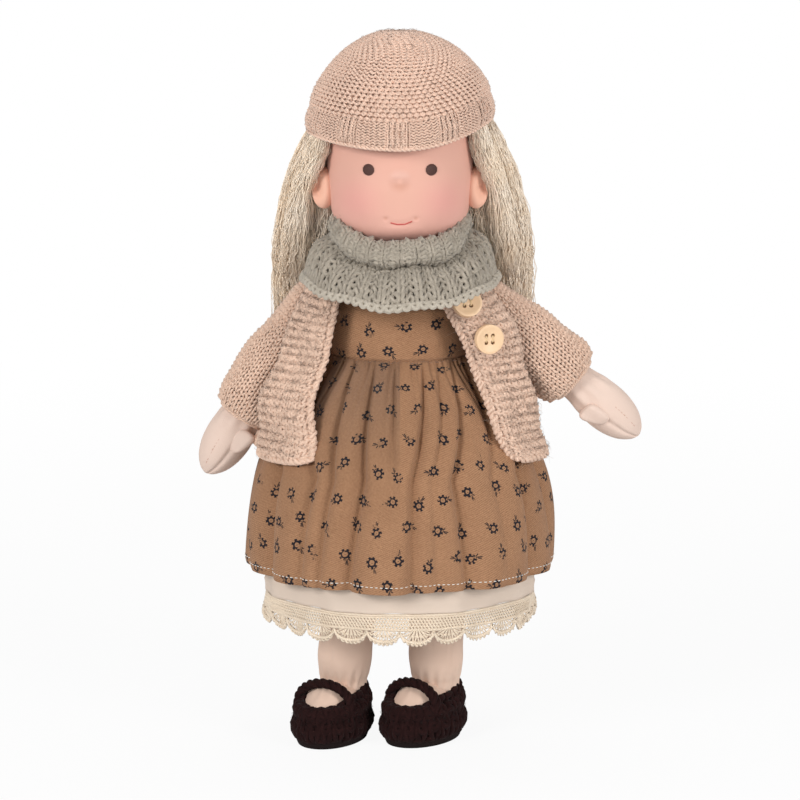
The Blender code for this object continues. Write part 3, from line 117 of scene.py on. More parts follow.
class Finish:
    """The material of one kind of piece, on Blender's Principled shader."""

    def __init__(self, name, roughness=0.9, sheen=0.0):
        self.material = bpy.data.materials.new(name)
        self.material.use_nodes = True
        self.tree = self.material.node_tree
        self.shader = self.tree.nodes["Principled BSDF"]
        self.shader.inputs["Roughness"].default_value = roughness
        self.shader.inputs["Specular IOR Level"].default_value = 0.25
        self.shader.inputs["Sheen Weight"].default_value = sheen
        self.place = self.node("ShaderNodeTexCoord", {}, {}, "Object")
        self.uv = self.node("ShaderNodeTexCoord", {}, {}, "UV")

    def node(self, kind, settings, values, output=0):
        """Add a node, set it up, feed its sockets with numbers or fields, and give one output back."""
        made = self.tree.nodes.new(kind)
        for key, value in settings.items():
            setattr(made, key, value)
        for key, value in values.items():
            if isinstance(key, int):
                socket = made.inputs[key]
            else:
                socket = next(s for s in made.inputs if s.name == key and s.enabled)
            if isinstance(value, Field):
                self.tree.links.new(value.socket, socket)
            elif isinstance(value, tuple) and socket.type == "RGBA":
                socket.default_value = (*value, 1.0)
            else:
                socket.default_value = value
        if isinstance(output, int):
            return Field(self, [s for s in made.outputs if s.enabled][output])
        return Field(self, next(s for s in made.outputs if s.name == output and s.enabled))

    def split(self, vector):
        """The three numbers of a vector."""
        return [self.node("ShaderNodeSeparateXYZ", {}, {"Vector": vector}, axis) for axis in "XYZ"]

    def noise(self, scale, detail=2.0, vector=None):
        """Soft cloudy variation, from 0 to 1."""
        where = self.place if vector is None else vector
        return self.node("ShaderNodeTexNoise", {}, {"Vector": where, "Scale": scale, "Detail": detail})

    def blend(self, mask, under, over):
        """One colour over another where the mask is 1."""
        values = {"Factor": mask, "A": under, "B": over}
        return self.node("ShaderNodeMix", {"data_type": "RGBA"}, values, "Result")

    def colour(self, value):
        """Give the shader its colour, plain or from a field."""
        socket = self.shader.inputs["Base Color"]
        if isinstance(value, Field):
            self.tree.links.new(value.socket, socket)
        else:
            socket.default_value = (*value, 1.0)
        return self

    def bump(self, height, distance):
        """Raise the surface by a field, by a distance in metres."""
        made = self.node("ShaderNodeBump", {}, {"Height": height, "Distance": distance}, "Normal")
        self.tree.links.new(made.socket, self.shader.inputs["Normal"])
        return self


card = Finish("white_card")
card.colour((0.80, 0.80, 0.80))
lit = card.node("ShaderNodeEmission", {}, {"Color": (1.0, 1.0, 1.0), "Strength": 1.0})
rays = card.node("ShaderNodeLightPath", {}, {}, "Is Camera Ray")
plain = Field(card, card.shader.outputs[0])
card_x, card_y, _ = card.split(card.place)
card_far = (card_x * card_x + card_y * card_y).math("SQRT")
seen = card.node("ShaderNodeMixShader", {}, {0: rays * (1.0 - card_far.below(0.55, 0.45) * 0.08),
    1: plain, 2: lit})
card.tree.links.new(seen.socket, card.tree.nodes["Material Output"].inputs["Surface"])
floor.data.materials.append(card.material)

sky = bpy.data.worlds.new("studio")
sky.use_nodes = True
scene.world = sky
sky_nodes = sky.node_tree.nodes
sky_rays = sky_nodes.new("ShaderNodeLightPath")
sky_strength = sky_nodes.new("ShaderNodeMapRange")
sky_strength.inputs["To Min"].default_value = 0.33
sky_strength.inputs["To Max"].default_value = 1.0
sky.node_tree.links.new(sky_rays.outputs["Is Camera Ray"], sky_strength.inputs["Value"])
sky.node_tree.links.new(sky_strength.outputs["Result"], sky_nodes["Background"].inputs["Strength"])
sky_nodes["Background"].inputs["Color"].default_value = (1.0, 1.0, 1.0, 1.0)

for lamp_name, lamp_place, lamp_size, lamp_power in (
    ("key_light", (-0.98, -1.05, 0.72), 0.45, 13.6),
    ("fill_light", (1.05, -1.00, 0.60), 0.50, 12.0),
    ("top_light", (0.05, 0.35, 1.40), 0.9, 4.6),
):
    bpy.ops.object.light_add(type="AREA", location=lamp_place)
    lamp = bpy.context.object
    lamp.name = lamp_name
    lamp.data.size = lamp_size
    lamp.data.energy = lamp_power
    lamp.rotation_euler = (Vector((0.0, 0.0, 0.15)) - Vector(lamp_place)).to_track_quat("-Z", "Y").to_euler()

bpy.ops.object.camera_add(location=(middle[0], middle[1] - 1.18177, 0.35838))
camera = bpy.context.object
camera.name = "camera"
camera.rotation_euler = (math.radians(90.0 - 10.238), 0.0, 0.0)
camera.data.sensor_width = 36.0
camera.data.lens = 128.78
camera.data.clip_start = 0.05
scene.camera = camera


# Torso: a bag of skin-toned cotton jersey stuffed with wool, tied in at the waist and at the neck. The dress
# hides it, apart from what a low view finds under the skirt.
def assemble(name, parts, finish, body, slot, *nodes):
    """Make a piece of parts, each its points, faces and UV places, and give it to its body. The slot is not
    used.
    """
    points, corners, sizes, places = [], [], [], []
    count = 0
    for part_points, faces in parts:
        volume = 0.0
        for face, _ in faces:
            a = part_points[face[:, 0]]
            for i in range(1, face.shape[1] - 1):
                volume += (a * np.cross(part_points[face[:, i]], part_points[face[:, i + 1]])).sum()
        for face, uv in faces:
            if volume < 0:
                face, uv = face[:, ::-1], uv[:, ::-1]
            corners.append((face + count).ravel())
            sizes.append(np.full(len(face), face.shape[1]))
            places.append(uv.reshape(-1, 2))
        points.append(part_points)
        count += len(part_points)
    mesh = bpy.data.meshes.new(name)
    corners, sizes = np.concatenate(corners), np.concatenate(sizes)
    mesh.vertices.add(count)
    mesh.vertices.foreach_set("co", np.concatenate(points).astype(np.float32).ravel())
    mesh.loops.add(len(corners))
    mesh.loops.foreach_set("vertex_index", corners.astype(np.int32))
    mesh.polygons.add(len(sizes))
    mesh.polygons.foreach_set("loop_start", (np.cumsum(sizes) - sizes).astype(np.int32))
    layer = mesh.uv_layers.new(name="UVMap")
    mesh.update(calc_edges=True)
    layer.data.foreach_set("uv", np.concatenate(places).astype(np.float32).ravel())
    mesh.shade_smooth()
    piece = bpy.data.objects.new(name, mesh)
    scene.collection.objects.link(piece)
    mesh.materials.append(finish.material)
    if body is not None:
        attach(piece, body)
    if nodes:
        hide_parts(*nodes)
    return piece


def grid_faces(rows, columns, around, size, first=0):
    """Quads of a grid of points, rows along and columns round, with UV places of a size in metres."""
    last = columns if around else columns - 1
    i, j = np.meshgrid(np.arange(rows - 1), np.arange(last), indexing="ij")
    i, j = i.ravel(), j.ravel()
    next_j = (j + 1) % columns
    faces = np.stack([i * columns + j, i * columns + next_j, (i + 1) * columns + next_j,
        (i + 1) * columns + j], 1)
    across = np.stack([j, j + 1, j + 1, j], 1) / last * size[0]
    along = np.stack([i, i, i + 1, i + 1], 1) / (rows - 1) * size[1]
    return faces + first, np.stack([across, along], 2)


def skin(points, size=(1.0, 1.0)):
    """A closed form skinned over rings of points, with a pole at each end."""
    rows, columns = points.shape[:2]
    flat = points.reshape(-1, 3)
    poles = np.stack([points[0].mean(0), points[-1].mean(0)])
    j = np.arange(columns)
    next_j = (j + 1) % columns
    start = np.stack([next_j, j, np.full(columns, rows * columns)], 1)
    end = np.stack([j, next_j, np.full(columns, rows * columns + 1)], 1)
    end[:, :2] += (rows - 1) * columns
    zero = np.zeros((columns, 3, 2))
    return np.concatenate([flat, poles]), [grid_faces(rows, columns, True, size), (start, zero), (end, zero)]


def normals_of(points, around, inside):
    """Directions square to a grid of points, away from a point inside."""
    if around:
        across = np.roll(points, -1, 1) - np.roll(points, 1, 1)
    else:
        across = np.gradient(points, axis=1)
    normal = np.cross(across, np.gradient(points, axis=0))
    normal /= np.maximum(np.linalg.norm(normal, axis=2, keepdims=True), 1e-12)
    return normal * np.sign(((points - inside) * normal)[..., :2].sum())


def cloth(points, thickness, around, size, inside=middle):
    """A thin closed shell under a grid of points, with UV places of a size in metres."""
    rows, columns = points.shape[:2]
    count = rows * columns
    under = points - normals_of(points, around, inside) * thickness
    faces, uv = grid_faces(rows, columns, around, size)
    made = [(faces, uv), (faces[:, ::-1] + count, uv[:, ::-1])]
    grid = np.arange(count).reshape(rows, columns)
    edges = [grid[0][::-1], grid[-1]]
    if around:
        edges = [np.append(edge, edge[0]) for edge in edges]
    else:
        edges += [grid[:, 0], grid[:, -1][::-1]]
    for edge in edges:
        side = np.stack([edge[:-1], edge[1:], edge[1:] + count, edge[:-1] + count], 1)[:, ::-1]
        made.append((side, np.zeros((len(side), 4, 2))))
    return np.concatenate([points.reshape(-1, 3), under.reshape(-1, 3)]), made


def smooth_rows(table, steps):
    """Read a table of rows at even steps along it, smoothly between its rows."""
    table = np.array(table, dtype=float)
    along = np.arange(len(table))
    fine = np.linspace(0.0, len(table) - 1, steps)
    slope = np.gradient(table, along, axis=0)
    index = np.clip(fine.astype(int), 0, len(table) - 2)
    t = (fine - index)[:, None]
    a, b = table[index], table[index + 1]
    made = (2 * t**3 - 3 * t**2 + 1) * a + (t**3 - 2 * t**2 + t) * slope[index]
    return made + (3 * t**2 - 2 * t**3) * b + (t**3 - t**2) * slope[index + 1]


def stuffed(table, sides, steps):
    """Level rings of a stuffed form, from rows of height, half width and depth, and place across and along."""
    rows = smooth_rows(table, steps)
    turn = math.tau * np.arange(sides) / sides
    x = rows[:, 3:4] + np.maximum(rows[:, 1:2], 0.0) * np.sin(turn)
    y = rows[:, 4:5] - np.maximum(rows[:, 2:3], 0.0) * np.cos(turn)
    return np.stack([x, y, np.broadcast_to(rows[:, 0:1], x.shape)], 2)


def smooth_share(value, low, high):
    """0 below low, 1 above high, and an even S-curve between them."""
    share = np.clip((value - low) / (high - low), 0.0, 1.0)
    return share * share * (3.0 - 2.0 * share)


def jersey_finish(name, colour, shade):
    """Fine cotton jersey, a little mottled by the stuffing behind it."""
    made = Finish(name, 0.85, 0.1)
    made.colour(made.blend(made.noise(70.0) * 0.4, colour, shade))
    made.bump(made.noise(2400.0, 1.0), 0.00008)
    return made


# The legs, feet and torso take a lighter copy of the jersey: its colour is painted light, standing for light
# thrown up by the white floor.
jersey = jersey_finish("leg_jersey", (0.765, 0.566, 0.452), (0.678, 0.465, 0.359))

waist_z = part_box("skirt")[1].z
shoulder_z = frame["joints"][2]["pos_m"][2]
torso_shape = np.array([
    (waist_z - 0.0416, 0.0244, 0.0145),
    (waist_z - 0.0338, 0.0293, 0.0198),
    (waist_z - 0.0244, 0.0305, 0.0220),
    (waist_z - 0.0132, 0.0287, 0.0216),
    (waist_z - 0.0056, 0.0275, 0.0211),
    (waist_z, 0.0275, 0.0211),
    (waist_z + 0.0102, 0.0290, 0.0220),
    (shoulder_z, 0.0290, 0.0220),
    (shoulder_z + 0.0051, 0.0278, 0.0198),
    (shoulder_z + 0.0087, 0.0244, 0.0167),
    (shoulder_z + 0.0115, 0.0180, 0.0145),
    (shoulder_z + 0.0148, 0.0127, 0.0121),
    (shoulder_z + 0.0256, 0.0110, 0.0110),
])
torso_table = np.hstack([torso_shape * (1.0, 0.985, 0.985), np.zeros((len(torso_shape), 2))])
torso = assemble("torso_skin", [skin(stuffed(torso_table, 56, 60) + middle)], jersey, "body", "torso",
    "torso")


# Legs and feet: jersey tubes sewn up along one side, each gathered in where its foot is sewn on at the ankle.
def toe_drop(forward):
    """How much lower the foot is towards its toes, by the share of the way to them."""
    return 0.0034 * smooth_share(forward, 0.0, 1.0)


foot_facts = {}
for side, ankle_out, toe_turn in ((-1, 0.025, math.radians(26)), (1, 0.015, math.radians(37))):
    side_name = "left" if side > 0 else "right"
    hip_x, ankle_x = side * 0.017, side * ankle_out
    leg_table = []
    for height, radius, share in (
        (0.1312, 0.0030, 1.0), (0.1292, 0.0078, 1.0), (0.1240, 0.0119, 1.0), (0.1160, 0.0134, 1.0),
        (0.0960, 0.0131, 0.79), (0.0720, 0.0124, 0.56), (0.0480, 0.0116, 0.33), (0.0340, 0.0114, 0.19),
        (0.0272, 0.0105, 0.12), (0.0240, 0.0098, 0.09), (0.0208, 0.0102, 0.06),
    ):
        leg_x = ankle_x + (hip_x - ankle_x) * share
        leg_table.append((height, radius, radius, leg_x, 0.0015 * (1.0 - share)))
    leg_points = stuffed(leg_table, 96, 120)
    leg_turn = math.tau * np.arange(96) / 96
    away = np.stack([np.sin(leg_turn), -np.cos(leg_turn), 0.0 * leg_turn], 1)
    pucker = np.exp(-((leg_points[..., 2] - 0.0245) / 0.0045) ** 2) * np.cos(15 * leg_turn + side)
    seam_side = np.angle(np.exp(1j * (leg_turn - 0.55 * side)))
    seam = np.exp(-((seam_side / 0.045) ** 2))
    wrinkle = 0.0003 * np.sin(leg_points[..., 2] / 0.0042 + 1.4 * np.sin(leg_turn + side))
    wrinkle *= smooth_share(0.045 - leg_points[..., 2], 0.0, 0.012)
    leg_points += away * (wrinkle - 0.0005 * pucker - 0.0006 * seam)[..., None]
    leg = assemble("leg_skin_" + side_name, [skin(leg_points + middle, (0.08, 0.11))], jersey,
                   side_name + "_leg", "leg_" + side_name, "leg_" + side_name)

    ahead = np.array([-math.sin(toe_turn), -math.cos(toe_turn), 0.0])
    aside = np.array([math.cos(toe_turn), -math.sin(toe_turn), 0.0])
    centre = np.array([ankle_x, 0.0015, 0.0]) + ahead * 0.0085 + middle
    foot_facts[side_name] = (centre, ahead, aside)
    bpy.ops.object.select_all(action="DESELECT")
    bpy.ops.mesh.primitive_uv_sphere_add(segments=48, ring_count=28, radius=1.0)
    foot = bpy.context.object
    foot.name = "foot_skin_" + side_name
    for vertex in foot.data.vertices:
        x, y, z = vertex.co
        gather = 1.0 - 0.02 * math.cos(9 * math.atan2(x, y)) * max(z, 0.0) ** 2
        place = centre + aside * (x * 0.0118 * gather) - ahead * (y * 0.0183 * gather)
        vertex.co = (place[0], place[1], 0.0143 + z * 0.0108 * gather - toe_drop(-y))
    bpy.ops.object.shade_smooth()
    foot.data.materials.append(jersey.material)
    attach(foot, side_name + "_leg")
    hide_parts("foot_" + side_name)
    "foot_" + side_name


# Shoes: chunky dark wool worked round and round in double crochet, open over the instep, with a crocheted
# strap across. Each stitch is a pair of leaning loops of yarn.
def tube(paths, radius, up, sides=5, closed=False, pitch=1.0):
    """Yarns or hairs, one tube along each of k paths of n points. `up` is about square to them."""
    paths = np.asarray(paths, dtype=float)
    count, steps = paths.shape[:2]
    if closed:
        ahead = np.roll(paths, -1, 1) - np.roll(paths, 1, 1)
    else:
        ahead = np.gradient(paths, axis=1)
    ahead /= np.maximum(np.linalg.norm(ahead, axis=2, keepdims=True), 1e-12)
    side_way = np.cross(ahead, np.broadcast_to(up, paths.shape))
    side_way /= np.maximum(np.linalg.norm(side_way, axis=2, keepdims=True), 1e-12)
    above = np.cross(side_way, ahead)
    turn = math.tau * np.arange(sides) / sides
    round_way = side_way[:, :, None] * np.cos(turn)[:, None] + above[:, :, None] * np.sin(turn)[:, None]
    reach = np.broadcast_to(np.asarray(radius, dtype=float), (count, steps))[..., None, None]
    points = (paths[:, :, None] + round_way * reach).reshape(-1, 3)
    last = steps if closed else steps - 1
    k, i, j = (a.ravel() for a in np.meshgrid(np.arange(count), np.arange(last), np.arange(sides),
        indexing="ij"))
    first = (k * steps + i) * sides
    after = (k * steps + (i + 1) % steps) * sides
    next_j = (j + 1) % sides
    quads = np.stack([first + j, after + j, after + next_j, first + next_j], 1)
    gaps = np.linalg.norm(np.diff(paths, axis=1, append=paths[:, :1]), axis=2)
    walked = np.cumsum(np.concatenate([np.zeros((count, 1)), gaps], 1), 1)
    along = np.stack([walked[k, i], walked[k, i + 1], walked[k, i + 1], walked[k, i]], 1) / pitch
    faces = [(quads, np.stack([np.stack([j, j, j + 1, j + 1], 1) / sides, along], 2))]
    if not closed:
        rings = np.arange(count)[:, None] * steps * sides + np.arange(sides)
        blank = np.zeros((count, sides, 2))
        faces += [(rings, blank), (rings[:, ::-1] + (steps - 1) * sides, blank)]
    return points, faces


def yarn_finish(name, colour, shade, sheen=0.35, plies=2.0, bump=0.00018):
    """Plied wool: fuzzy, with painted shade between its plies, and a little uneven from stitch to stitch."""
    made = Finish(name, 0.95, sheen)
    across, along, _ = made.split(made.uv)
    twist = (across * plies + along).math("MULTIPLY", math.tau).math("SINE") * 0.5 + 0.5
    uneven = made.noise(260.0, 3.0)
    # The darker bands between the plies are painted shade for the grooves; the noise adds real unevenness of
    # tone.
    made.colour(made.blend((1.0 - twist) * 0.35 + (uneven - 0.35) * 0.9, colour, shade))
    made.bump(twist + made.noise(5200.0, 2.0) * 0.7, bump)
    return made


shoe_wool = yarn_finish("shoe_wool", (0.024, 0.0084, 0.0080), (0.0092, 0.0034, 0.0032), 0.03)
shoe_wool.shader.inputs["Specular IOR Level"].default_value = 0.08
# Painted shade: the inner form under the crochet is darker than the wool, standing for the shade between the
# stitches.
shoe_lining = Finish("shoe_lining", 0.95).colour((0.012, 0.005, 0.0045))


def knit(place, counts, radius, relief, face, inside=middle, closed=True, steps=9, sides=4, seed=0, turn=0.0):
    """Rows of knitted loops on a surface: place(u, v) gives its points, counts the stitches of each row, and
    face(row, column) is 1 where a stitch shows its purl bump and -1 where it shows its two legs."""
    rng = np.random.default_rng(seed)
    parts = []
    for row, count in enumerate(counts):
        t = np.arange(count * steps + (not closed)) / steps
        column = np.arange(-1, count + 2)
        loose = rng.normal(0.0, 1.0, (3, count + 3))
        if closed:
            loose[:, -3:] = loose[:, :3]
        shown = np.array([face(row, c % count) for c in column], dtype=float)
        nearest = np.floor(t + 0.5)
        step = np.clip((t - nearest) * 2.5, -0.5, 0.5)
        low = np.interp(nearest + np.sign(step), column, shown)
        here = np.interp(nearest, column, shown)
        side_out = here + (low - here) * np.abs(step)
        wander = [np.interp(t, column, values) for values in loose]
        x = t + 0.215 * np.sin(2 * math.tau * t) + 0.05 * wander[0]
        y = row + 0.5 + (0.73 + 0.04 * wander[1]) * np.cos(math.tau * t)
        z = relief * (count / max(counts)) * (side_out * np.cos(2 * math.tau * t) + 0.18 * wander[2])
        u, v = x / count + turn * row, np.clip(y / len(counts), 0.0, 1.0)
        if not closed:
            u = np.clip(u, 0.0, 1.0)
        tiny = 0.002
        points = place(u, v)
        across = place(u + tiny, v) - place(u - tiny, v)
        along = place(u, np.minimum(v + tiny, 1.0)) - place(u, np.maximum(v - tiny, 0.0))
        normal = np.cross(across, along)
        normal /= np.maximum(np.linalg.norm(normal, axis=1, keepdims=True), 1e-12)
        normal *= np.sign(((points - inside) * normal)[:, :2].sum())
        path = points + normal * z[:, None]
        parts.append(tube(path[None], radius, normal[None], sides, closed, radius * 5.5))
    return parts


def fuzz(place, count, length, radius, seed, inside=middle, lie=0.7):
    """Loose fibres that stand off a woollen surface and curl back over it."""
    rng = np.random.default_rng(seed)
    u, v = rng.random(count), 0.01 + 0.98 * rng.random(count)
    tiny = 0.002
    root = place(u, v)
    across = place(u + tiny, v) - place(u - tiny, v)
    along = place(u, v + tiny) - place(u, v - tiny)
    across /= np.maximum(np.linalg.norm(across, axis=1, keepdims=True), 1e-12)
    along /= np.maximum(np.linalg.norm(along, axis=1, keepdims=True), 1e-12)
    normal = np.cross(across, along)
    normal *= np.sign(((root - inside) * normal)[:, :2].sum())
    way = rng.random(count) * math.tau
    lean = across * np.cos(way)[:, None] + along * np.sin(way)[:, None]
    curl = np.cross(normal, lean) * rng.normal(0.0, 0.6, count)[:, None]
    long = length * (0.4 + 0.9 * rng.random(count))[:, None]
    s = np.linspace(0.0, 1.0, 4)[None, :, None]
    rise = np.sin(s * 2.4) * (1.0 - lie) * (0.4 + 1.2 * rng.random(count))[:, None, None]
    path = root[:, None] + long[:, None] * (
        normal[:, None] * rise + lean[:, None] * s * lie + curl[:, None] * s**2
    )
    thin = radius * (1.0 - 0.8 * s[..., 0])
    return tube(path, np.broadcast_to(thin, (count, 4)), normal[:, None], 3)


shoe_rows = (
    (0.0002, 0.0116, 0.0176, 0.0), (0.0022, 0.0136, 0.0200, 0.0), (0.0056, 0.0152, 0.0218, 0.0),
    (0.0100, 0.0158, 0.0225, 0.0), (0.0135, 0.0154, 0.0220, 0.0002), (0.0160, 0.0142, 0.0208, 0.0006),
    (0.0171, 0.0132, 0.0203, 0.0006), (0.0173, 0.0119, 0.0190, 0.0005),
)
shoe_fine = smooth_rows(shoe_rows, 200)


def add_shoe(name):
    """One shoe with its dark inner form, whose colour is painted shade between the stitches, its sole, rim and
    strap, on the foot of that side.
    """
    centre, ahead, aside = foot_facts[name]

    def stand(x, back, z):
        return centre + aside * x[..., None] - ahead * back[..., None] + np.stack([0 * z, 0 * z, z], -1)

    def wall(u, v, inset=0.0):
        row = np.clip(v, 0.0, 1.0) * (len(shoe_fine) - 1)
        z, wide, long, back = (np.interp(row, np.arange(len(shoe_fine)), shoe_fine[:, i]) for i in range(4))
        angle = math.tau * u
        x, y = (wide - inset) * np.sin(angle), back - (long - inset) * np.cos(angle)
        z = np.maximum(z, 0.0036 - inset * 0.5)
        over = np.sqrt(np.maximum(1.0 - (x / 0.0118) ** 2 - (y / 0.0183) ** 2, 0.0))
        instep = 0.0143 + 0.0108 * over - toe_drop(-y / 0.0183) + 0.0016 - inset
        heel = 0.0040 * smooth_share(y, 0.002, 0.016) * smooth_share(v, 0.5, 1.0)
        toe = 0.0014 * smooth_share(-y, 0.004, 0.018) * smooth_share(v, 0.6, 1.0)
        return stand(x, y, np.where((over > 0.0) & (v > 0.5), np.maximum(z - toe, instep), z - toe) + heel)

    yarn = 0.00150
    parts = knit(lambda u, v: wall(u, v, yarn * 0.9), [19, 21, 21, 20, 18], yarn, 0.0008, lambda r,
        c: 1 - 2 * (r % 2),
                 centre, steps=12, sides=7, seed=len(name), turn=0.026)
    parts.append(fuzz(lambda u, v: wall(u, 0.25 + 0.75 * v, 0.0010), 1500, 0.0022, 0.00009, len(name),
        centre))
    t = np.linspace(0.0, 1.0, 240, endpoint=False)
    for phase in (0.0, 0.5):
        twist = math.tau * (15 * t + phase)
        rim = wall(t, 1.0 + 0 * t, 0.0003) + np.stack([0 * t, 0 * t, 0.0009 * np.sin(twist)], 1)
        out = wall(t, 1.0 + 0 * t, 0.0) - wall(t, 1.0 + 0 * t, 0.001)
        rim += out * 0.9 * np.cos(twist)[:, None]
        parts.append(tube(rim[None], 0.00125, (0.0, 0.0, 1.0), 6, True, 0.008))
    angle = math.tau * np.arange(48) / 48
    rings = [stand(wide * np.sin(angle), back - long * np.cos(angle), 0 * angle + z) for z, wide, long,
        back in (
        (0.0001, 0.0040, 0.0060, 0.0), (0.0001, 0.0134, 0.0194, 0.0), (0.0030, 0.0144, 0.0208, 0.0),
        (0.0100, 0.0148, 0.0212, 0.0), (0.0134, 0.0145, 0.0206, 0.0), (0.0150, 0.0124, 0.0184, 0.0),
        (0.0140, 0.0100, 0.0150, 0.0), (0.0120, 0.0092, 0.0140, 0.0), (0.0100, 0.0040, 0.0060, 0.0),
    )]
    for ring in rings[4:7]:
        ring[:, 2] += 0.0042 * smooth_share((centre - ring) @ ahead, 0.002, 0.016)
    shade_sheet = assemble("shoe_lining_" + name, [skin(np.array(rings))], shoe_lining,
                      name + "_leg", "shoe_" + name)
    shoe = assemble("shoe_crochet_" + name, parts, shoe_wool, name + "_leg", "shoe_" + name, "shoe_" + name)
    t = np.linspace(0.0, 1.0, 90)
    bow = math.pi * t
    strap_parts = []
    for strand in range(3):
        twist = math.tau * (4.0 * t + strand / 3)
        x = (0.0128 + 0.0007 * np.cos(twist)) * np.cos(bow)
        back = -0.0074 + 0.0013 * np.sin(twist)
        z = 0.0138 + (0.0117 + 0.0009 * np.cos(twist)) * np.sin(bow) ** 0.75
        strap_parts.append(tube(stand(x, back, z)[None], 0.00130, ahead, 6, False, 0.008))
    strap = assemble("strap_crochet_" + name, strap_parts, shoe_wool, name + "_leg", "strap_" + name,
                     "strap_" + name)
    return shade_sheet, shoe, strap


add_shoe("right")
add_shoe("left")


# Petticoat: plain cream cotton gathered to the waist under the dress, with a stitched tuck above its hem.
def body_size(z):
    """Half width and half depth of the stuffed torso at a height."""
    return np.interp(z, torso_shape[:, 0], torso_shape[:, 1]), np.interp(z, torso_shape[:, 0],
        torso_shape[:, 2])


hem_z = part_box("skirt")[0].z
cloth_wall = 0.0009


def skirt_size(z):
    """Half width and half depth of the skirt's outside, from the waist seam to the hem."""
    fallen = np.clip((waist_z - z) / (waist_z - hem_z), 0.0, 1.0)
    flare = (1.0 - (1.0 - fallen) ** 3) ** 1.5
    return 0.0288 + (0.0645 - 0.0288) * flare, 0.0224 + (0.0600 - 0.0224) * flare


def ring_of(wide, deep, inward, angle, z):
    """Points round the doll at an angle from straight ahead."""
    x = (wide - inward) * np.sin(angle)
    y = -(deep - inward) * np.cos(angle)
    return middle + np.stack(np.broadcast_arrays(x, y, z), -1)


def fold_depth(fallen):
    """How deep the skirt's folds can be, by the share of the way down to its hem."""
    return np.interp(fallen, (0.0, 0.05, 0.12, 0.35, 0.70, 1.0), (0.0, 0.0016, 0.0030, 0.0046, 0.0046,
        0.0042))


petticoat_low, petticoat_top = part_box("petticoat")[0].z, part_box("petticoat")[1].z


def petticoat_place(u, z):
    """The petticoat's outside at a height."""
    wide, deep = skirt_size(np.maximum(z, hem_z))
    share = smooth_share(waist_z - z, 0.0, waist_z - petticoat_low)
    depth = fold_depth((waist_z - z) / (waist_z - hem_z))
    body_wide, body_deep = body_size(z)
    wide = np.maximum(wide, body_wide + depth + 0.0042)
    deep = np.maximum(deep, body_deep + depth + 0.0042)
    angle = math.tau * u
    fold = 0.0018 * share * (0.5 + 0.5 * np.cos(8 * angle)) + 0.0005 * share * np.cos(21 * angle + 1.0)
    tuck = 0.0007 * np.exp(-(((z - petticoat_low - 0.0042) / 0.0006) ** 2))
    return ring_of(wide, deep, depth + cloth_wall + 0.0012 + fold - tuck, angle, z)


cotton = Finish("cream_cotton", 0.9, 0.1)
cotton.colour(cotton.blend(cotton.noise(55.0) * 0.35, (0.670, 0.555, 0.462), (0.600, 0.472, 0.380)))
cotton.bump(cotton.noise(3000.0, 1.0), 0.00008)
u_grid, z_grid = np.meshgrid(np.arange(260) / 260, np.linspace(petticoat_top, petticoat_low, 80))
petticoat = assemble(
    "petticoat_cloth",
    [cloth(petticoat_place(u_grid, z_grid), cloth_wall * 0.8, True, (0.35, 0.092))],
    cotton, "body", "petticoat", "petticoat",
)

# Lace: a cream crochet edging sewn to the petticoat's hem. Two chains carry rows of bars, and fans of bars
# with a thick rim make the scallops.
lace_thread = yarn_finish("lace_thread", (0.850, 0.725, 0.580), (0.710, 0.580, 0.440), 0.1, 2.0, 0.00006)
scallops = 26
lace_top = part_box("lace_edging")[1].z


def lace_place(turns, drop, out=0.0):
    """A point of the lace, by its share of the way round and its drop below the sewn edge."""
    wide, deep = skirt_size(hem_z)
    angle = math.tau * turns
    fold = 0.0018 * (0.5 + 0.5 * np.cos(8 * angle))
    sway = (0.0006 * np.cos(scallops * angle) + 0.0016 * np.sin(8 * angle + 1.0)) * np.clip(drop / 0.011,
        0.0, 1.0)
    inward = 0.0042 + cloth_wall * 1.6 + 0.0011 + fold - sway - out
    return ring_of(wide, deep, inward, angle, lace_top - drop)


def lace_thread_along(turns, drop, out, radius, closed=False, sides=4):
    """A thread through points of the lace, given as arrays of k threads of n points."""
    points = lace_place(turns, drop, out)
    outward = points - middle
    outward[..., 2] = 0.0
    return tube(points, radius, outward, sides, closed, radius * 5.5)


lace_parts = []
t = np.linspace(0.0, 1.0, 1400, endpoint=False)[None]
for level, wave, radius in ((0.0004, 0.00025, 0.00046), (0.0013, 0.00025, 0.00036), (0.0064, 0.00030,
    0.00044)):
    for phase in (0.0, 0.5):
        twist = math.tau * (260 * t + phase)
        lace_parts.append(lace_thread_along(t, level + wave * np.sin(twist), wave * np.cos(twist),
            radius, True))
t = np.linspace(0.0, 1.0, 1040, endpoint=False)[None]
for mesh_row in range(4):
    for phase in (0.0, 0.5):
        twist = math.tau * (130 * t + phase + 0.25 * mesh_row)
        drop = 0.0020 + 0.00118 * mesh_row + 0.00062 * np.sin(twist)
        lace_parts.append(lace_thread_along(t, drop, 0.00022 * np.cos(twist), 0.00033, True))
spokes = 7
centre_turn = (np.arange(scallops) + 0.5)[:, None, None] / scallops
fan = (np.arange(spokes) / (spokes - 1) - 0.5)[None, :, None] * math.radians(168)
s = np.linspace(0.0, 1.0, 7)[None, None]
perimeter = 0.345
reach = 0.0052
for bend in (-1, 1):
    across = (np.sin(fan + bend * 0.16 * s) * (0.0014 + (reach - 0.0014) * s)) / perimeter
    down = 0.0064 + np.cos(fan + bend * 0.16 * s) * reach * s
    turns = np.broadcast_to(centre_turn + across, (scallops, spokes, 7)).reshape(-1, 7)
    drops = np.broadcast_to(down, (scallops, spokes, 7)).reshape(-1, 7)
    lace_parts.append(lace_thread_along(turns, drops, 0.0 * drops, 0.00034, sides=4))
t = np.linspace(0.0, 1.0, scallops * 52, endpoint=False)[None]
local = (t * scallops) % 1.0 - 0.5
arc = np.arcsin(np.clip(local * 1.98, -1.0, 1.0))
